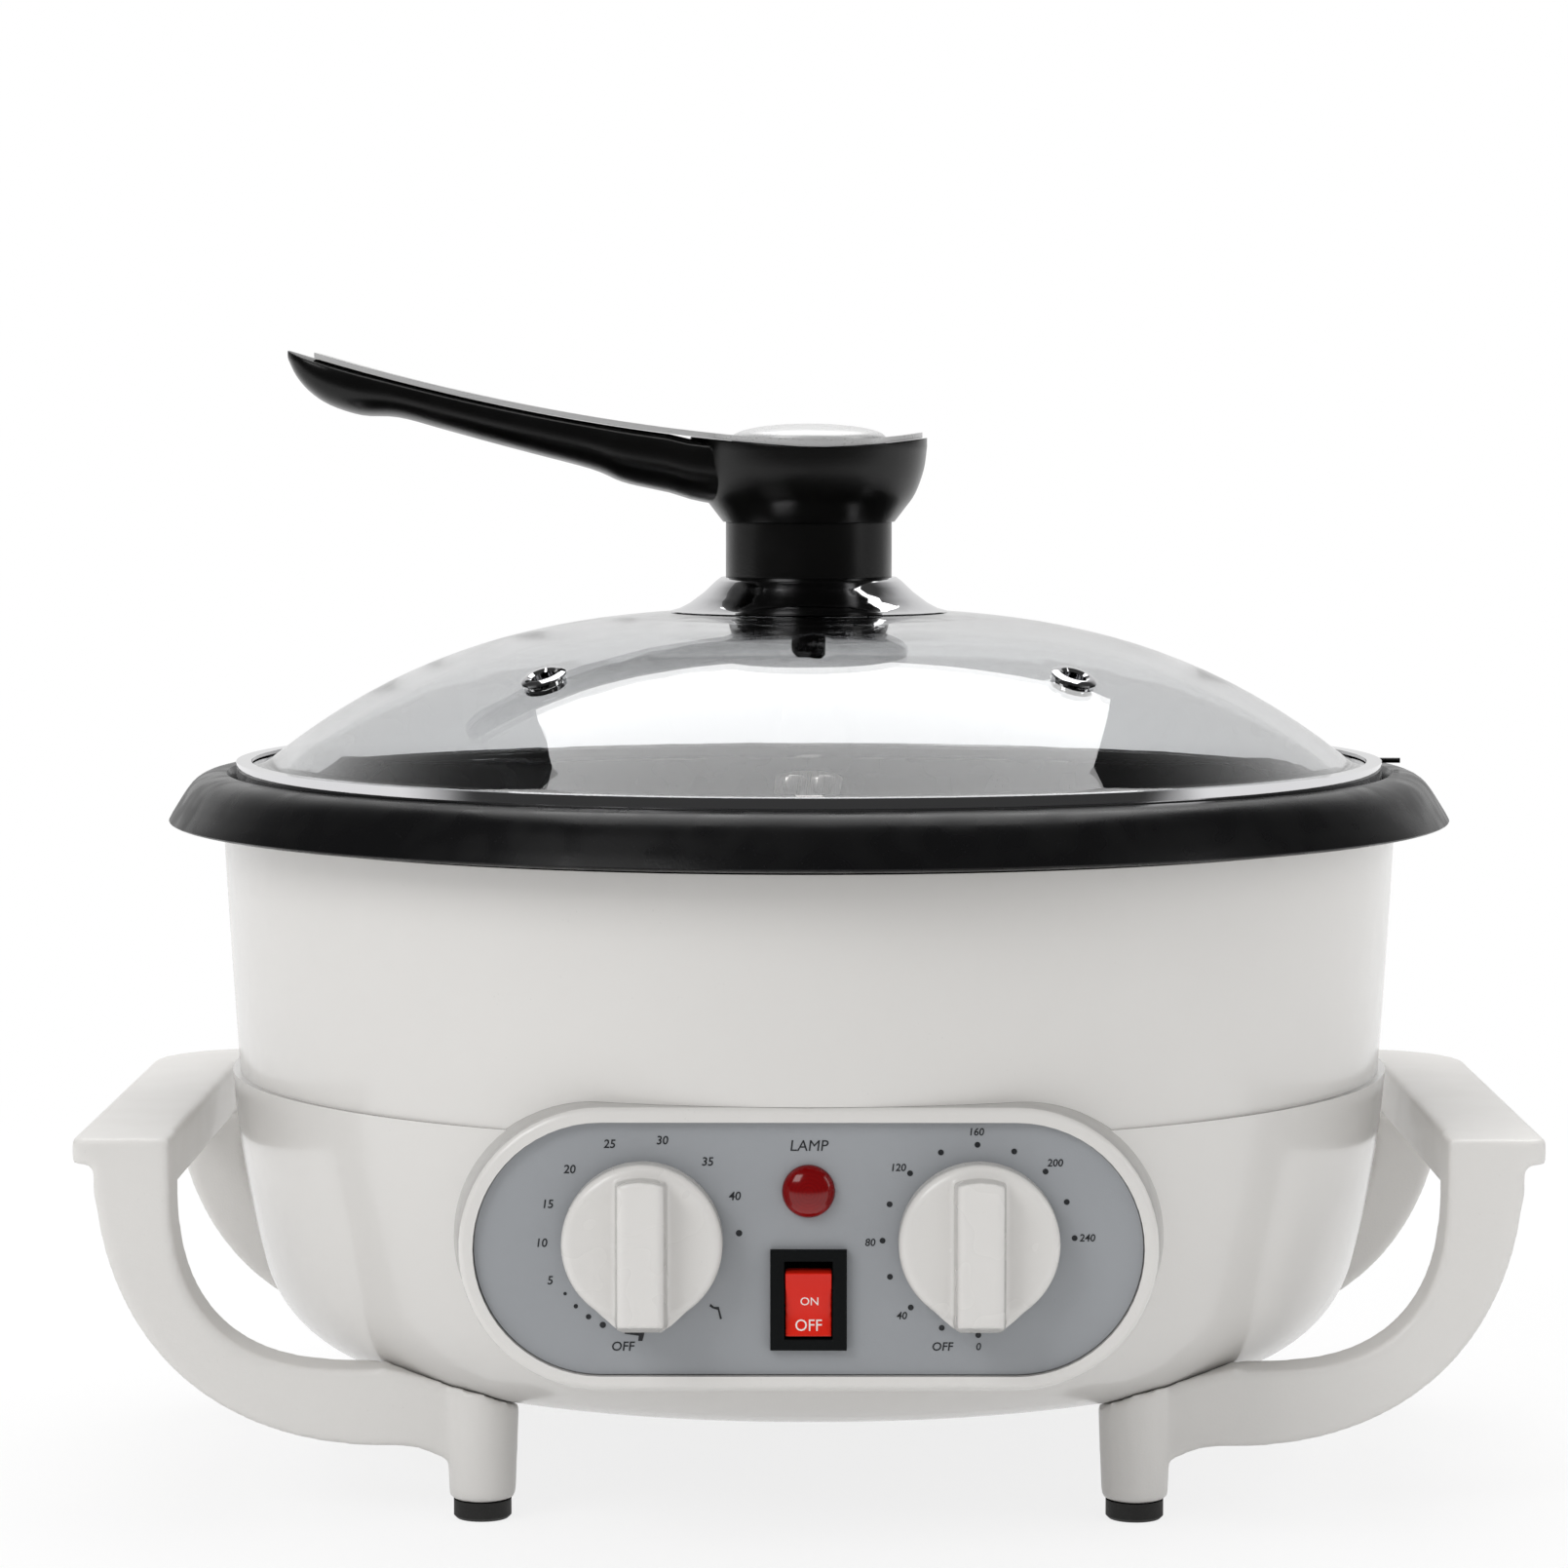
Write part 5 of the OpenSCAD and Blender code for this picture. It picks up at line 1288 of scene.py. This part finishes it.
@dataclass
class RoastingPan:
    """The black pan with its scrapers and rivets."""

    edge_z: float = 136.0 * MM
    crest_z: float = 146.0 * MM
    crest_r: float = 125.0 * MM
    roll_h: float = 6.8 * MM
    lip_h: float = 1.3 * MM
    flank: float = 1.5 * MM
    ring_r: float = 119.0 * MM
    ring_draw: float = 1.6 * MM

    def _rim(self, point: Vector) -> Vector:
        """Draws the rolled rim to a sloping flank with a thin lip under it.

        Args:
            point: A point of the pan.

        Returns:
            Where it goes.
        """
        radius = math.hypot(point.x, point.y)
        if radius < self.ring_r:
            return point
        above = point.z - self.edge_z
        if radius < self.crest_r:
            scale = 1.0 - self.ring_draw / radius if above < 0.0 else 1.0
            return Vector((point.x * scale, point.y * scale, point.z))
        if above < 0.0:
            return Vector((point.x, point.y, self.edge_z + above * self.lip_h / self.roll_h))
        share = min(above / (self.crest_z - self.edge_z), 1.0)
        scale = 1.0 - self.flank * math.sin(math.pi * share) / radius
        return Vector((point.x * scale, point.y * scale, point.z))

    def build(self, finishes: Finishes) -> None:
        """Dresses the pan, scrapers and rivets."""
        cover(finishes, PAN_COAT, Body.BASE, Slot.PAN, "roasting_pan", angle=26.0,
              bend=self._rim)
        dress(finishes, BRUSHED_STEEL, "front_scraper", "rear_scraper", "scraper_rivets")


@dataclass
class Drive:
    """The heater, motor and stirrer."""

    def build(self, finishes: Finishes) -> None:
        """Dresses the heating and driving pieces.

        Args:
            finishes: The roaster's finishes.
        """
        dress(finishes, ZINC_STEEL, "heater_clamps", "heat_shield", "tie_rods", "motor_can",
              "motor_bracket", "motor_screws")
        dress(finishes, WIRE_STEEL, "heating_ring")
        cover(finishes, WIRE_STEEL, Body.STIRRER, Slot.STEEL, "stirrer_wires", angle=50.0)
        dress(finishes, CERAMIC_CREAM, "thermal_cutoff")
        dress(finishes, HUB_GREY, "motor_gearbox")
        cover(finishes, HUB_GREY, Body.STIRRER, Slot.HUB, "stirrer_hub", "hub_nut")
        dress(finishes, BRUSHED_STEEL, "motor_shaft", "drive_spindle")
        dress(finishes, SATIN_BLACK, "shaft_coupling")


@dataclass
class Lid:
    """The glass dome with its chrome, and the handle with its raised arm."""

    neck_r: float = 17.7
    head_r: float = 25.2
    head_z: float = 198.6
    saddle_z: float = 214.4
    lip_rise: float = 2.0
    reach: float = 110.5
    slope: float = 0.0617
    curve: float = 0.00112
    arm_w: float = 30.0
    pocket_r: float = 16.7
    pocket_z: float = 212.0
    insert_r: float = 4.45
    insert_z: float = 208.3
    tool_over: float = 12.0
    stations: tuple[Point, ...] = (
        (0.1, 13.6, 1.02), (0.19, 13.2, 1.0), (0.24, 12.7, 0.97), (0.3, 12.2, 0.94),
        (0.36, 11.6, 0.92), (0.42, 9.9, 0.88), (0.54, 8.8, 0.84), (0.7, 7.8, 0.8),
        (0.79, 7.6, 0.79), (0.86, 9.2, 0.77), (0.92, 9.0, 0.73), (0.96, 7.4, 0.64),
        (0.985, 5.0, 0.5), (1.0, 2.2, 0.3))

    def _top(self, x: float) -> float:
        """Returns the height of the handle's top."""
        if x < 0.0:
            return self.saddle_z - self.slope * x + self.curve * x * x
        return self.saddle_z + self.lip_rise * (x / self.head_r) ** 2

    def _arm(self) -> bpy.types.Mesh:
        """Lofts the arm through its stations.

        Returns:
            A closed mesh in millimetres.
        """
        rows = spline_rows(self.stations, 4)
        shape = bmesh.new()
        rings = []
        for share, depth, width in rows:
            x = -self.reach * share
            sink = 0.5 * max(0.0, min(1.0, (0.27 - share) / 0.04))
            half, top = self.arm_w * width / 2, self._top(x) - sink
            waist = top - 0.3 * depth
            ring = []
            for k in range(40):
                side, rise = math.cos(math.tau * k / 40), math.sin(math.tau * k / 40)
                power, part = (0.4, 0.3) if rise > 0 else (0.8, 0.7)
                ring.append(shape.verts.new((
                    x, -half * math.copysign(abs(side) ** power, side),
                    waist + part * depth * math.copysign(abs(rise) ** power, rise))))
            rings.append(ring)
        close_loft(shape, rings)
        return mesh_of(shape, "arm")

    def _head(self) -> bpy.types.Mesh:
        """Turns the head and cuts its saddle.

        Returns:
            A closed mesh in millimetres.
        """
        low, neck, full = self.head_z, self.neck_r, self.head_r
        curve = spline_rows([(neck + 1.0, low + 0.5, 0.0), (neck + 2.6, low + 2.6, 0.0),
                             (neck + 5.0, low + 6.0, 0.0), (full - 0.7, low + 11.0, 0.0),
                             (full, low + 16.0, 0.0)], 4)
        outline = [(0.0, low), (self.neck_r + 0.6, low), *((r, z) for r, z, _ in curve),
                   (self.head_r, self.saddle_z + 6.0), (0.0, self.saddle_z + 6.0)]
        head = turned("head", outline, 96)
        steps = [self.head_r * 1.1 * i / 24 for i in range(-24, 25)]
        line = [(x, self._top(x)) for x in steps]
        over = self.saddle_z + self.tool_over
        line += [(steps[-1], over), (steps[0], over)]
        saddle = prism(line, 2.4 * self.head_r)
        saddle.transform(UPRIGHT)
        return carve(head, "DIFFERENCE", saddle)

    def _handle(self) -> bpy.types.Mesh:
        """Builds the handle from its arm and head, with the pockets for insert and cap.

        Returns:
            The finished mesh.
        """
        mesh = carve(self._head(), "UNION", self._arm())
        for radius, low, high in ((self.insert_r, self.head_z - 2.0, self.insert_z),
                                  (self.pocket_r, self.pocket_z,
                                   self.saddle_z + self.tool_over)):
            rod = turned("rod", [(0.0, low), (radius, low), (radius, high), (0.0, high)], 64)
            mesh = carve(mesh, "DIFFERENCE", rod)
        mesh.transform(Matrix.Scale(MM, 4))
        mesh.name = "handle_shell"
        return shade(mesh, 38.0)

    def build(self, finishes: Finishes) -> None:
        """Dresses the lid and builds its handle.

        Args:
            finishes: The roaster's finishes.
        """
        cover(finishes, DOME_GLASS, Body.LID, Slot.GLASS, "glass_dome", angle=40.0)
        cover(finishes, CHROME, Body.LID, Slot.CHROME, "lid_band", "vent_eyelets",
              "handle_flange", angle=40.0)
        cover(finishes, SATIN_BLACK, Body.LID, Slot.BLACK, "handle_neck")
        cover(finishes, SATIN_SILVER, Body.LID, Slot.SILVER, "handle_inlay", "handle_cap")
        handle = Piece("handle_shell", self._handle(), Body.LID, Slot.BLACK, SATIN_BLACK)
        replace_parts(handle.place(finishes), "lid_handle")
        dress(finishes, CHROME, "handle_washer")
        dress(finishes, SATIN_BLACK, "lid_pin", "handle_screw")
        dress(finishes, RUBBER_BLACK, "handle_gasket")
        dress(finishes, BRASS, "handle_insert")


# ---- Studio ----


@dataclass
class Lamp:
    """A soft area lamp that points at the roaster."""

    name: str
    place: Point
    size: tuple[float, float]
    power: float
    aim: Point = (0.0, 0.0, 0.1)

    def build(self) -> None:
        """Adds the lamp to the scene."""
        light = bpy.data.lights.new(self.name, "AREA")
        light.shape = "RECTANGLE"
        light.size, light.size_y = self.size
        light.energy = self.power
        lamp = link_new(self.name, light)
        lamp.location = self.place
        way = Vector(self.aim) - Vector(self.place)
        lamp.rotation_euler = way.to_track_quat("-Z", "Y").to_euler()


@dataclass
class Studio:
    """The pale floor, the soft light and the camera."""

    camera_place: Point = (0.0, -1.0448, 0.2161)
    camera_pitch: float = 4.031
    camera_yaw: float = 0.290
    lens: float = 112.30
    floor_size: float = 12.0
    room_level: float = 0.62
    mirror_level: float = 0.05
    backdrop_level: float = 0.8
    lamps: tuple[Lamp, ...] = (
        Lamp("key softbox", (-1.2, -1.4, 1.4), (1.0, 1.0), 13.0),
        Lamp("top softbox", (0.04, 0.8, 1.6), (1.4, 1.9), 21.0, (0.04, 0.8, 0.0)),
        Lamp("right fill", (1.8, -0.5, 0.8), (0.5, 1.2), 3.6),
    )

    def _world(self) -> None:
        """Builds the even room light, which the camera sees as white."""
        world = bpy.data.worlds.new("studio room")
        bpy.context.scene.world = world
        world.use_nodes = True
        graph = Graph(world.node_tree)
        path = graph.add("ShaderNodeLightPath")
        bounced = graph.math("MINIMUM", 1.0, graph.math(
            "ADD", path.outputs["Glossy Depth"], path.outputs["Diffuse Depth"]))
        through = graph.math("MULTIPLY", path.outputs["Is Transmission Ray"],
                             graph.math("SUBTRACT", 1.0, bounced))
        seen = graph.math("MAXIMUM", path.outputs["Is Camera Ray"], through)
        mirrored = graph.math("MINIMUM", 1.0, path.outputs["Glossy Depth"])
        way = graph.add("ShaderNodeTexCoord").outputs["Generated"]
        apart = graph.add("ShaderNodeSeparateXYZ", {0: way})
        mirror = graph.remap(apart.outputs[1], 0.45, 0.95, self.mirror_level,
                             self.backdrop_level, True)
        room = graph.add("ShaderNodeMix", {0: mirrored, 2: self.room_level,
                                           3: mirror}).outputs[0]
        level = graph.add("ShaderNodeMix", {0: seen, 2: room, 3: 1.0}).outputs[0]
        back = graph.add("ShaderNodeBackground", {"Color": (1.0, 1.0, 1.0, 1.0),
                                                  "Strength": level})
        graph.add("ShaderNodeOutputWorld", {"Surface": back.outputs[0]})

    def _floor(self) -> None:
        """Builds the floor, white to the camera but for a light shadow near the feet."""
        half = self.floor_size / 2
        mesh = bpy.data.meshes.new("studio_floor")
        corners = [(-half, -half, 0.0), (half, -half, 0.0), (half, half, 0.0), (-half, half, 0.0)]
        mesh.from_pydata(corners, [], [(0, 1, 2, 3)])
        floor = link_new("studio_floor", mesh)
        graph = Surface("pale floor")
        apart = graph.add("ShaderNodeVectorMath", {0: graph.place}, operation="LENGTH")
        far = graph.remap(apart.outputs["Value"], 0.25, 0.6, 0.0, 1.0, True)
        path = graph.add("ShaderNodeLightPath")
        seen = graph.math("MAXIMUM", path.outputs["Is Camera Ray"], graph.math(
            "MAXIMUM", path.outputs["Is Glossy Ray"], path.outputs["Is Transmission Ray"]))
        share = graph.math("MULTIPLY", seen, graph.remap(far, 0.0, 1.0, 0.82, 1.0))
        plain = graph.add("ShaderNodeBsdfDiffuse", {"Color": (0.84, 0.84, 0.84, 1.0)})
        front = graph.add("ShaderNodeSeparateXYZ", {0: graph.place}).outputs[1]
        shown = graph.add("ShaderNodeMix", {
            0: path.outputs["Is Glossy Ray"], 2: 1.0,
            3: graph.remap(front, -0.9, -0.2, self.mirror_level, 1.0, True)}).outputs[0]
        glow = graph.add("ShaderNodeEmission", {"Color": (1.0, 1.0, 1.0, 1.0),
                                                "Strength": shown})
        both = graph.add("ShaderNodeMixShader", {0: share, 1: plain.outputs[0],
                                                 2: glow.outputs[0]})
        below = graph.math("MULTIPLY", path.outputs["Is Camera Ray"],
                           graph.add("ShaderNodeNewGeometry").outputs["Backfacing"])
        open_below = graph.add("ShaderNodeMixShader", {
            0: below, 1: both.outputs[0],
            2: graph.add("ShaderNodeBsdfTransparent").outputs[0]})
        graph.add("ShaderNodeOutputMaterial", {"Surface": open_below.outputs[0]})
        mesh.materials.append(graph.material)

    def _camera(self) -> None:
        """Adds the camera, a little above the rim and level with the front."""
        data = bpy.data.cameras.new("front_camera")
        data.lens = self.lens
        data.sensor_width = 36.0
        data.clip_start = 0.01
        data.clip_end = 50.0
        camera = link_new("front_camera", data)
        camera.location = self.camera_place
        camera.rotation_euler = (math.radians(90.0 - self.camera_pitch), 0.0,
                                 math.radians(self.camera_yaw))
        bpy.context.scene.camera = camera

    def build(self) -> None:
        """Sets up the studio."""
        bpy.context.scene.view_settings.view_transform = "Standard"
        self._camera()
        self._world()
        self._floor()
        for lamp in self.lamps:
            lamp.build()
        LOG.info("studio with %d lamps", len(self.lamps))


def main() -> None:
    """Builds the studio and then the roaster, one sub-assembly after another."""
    logging.basicConfig(level=logging.INFO, format="%(name)s %(message)s")
    Studio().build()
    finishes = Finishes()
    for part in (Housing(), SideFrames(), ControlPanel(), RoastingPan(), Drive(), Lid()):
        part.build(finishes)
        LOG.info("%s done", type(part).__name__)


if __name__ == "__main__":
    main()
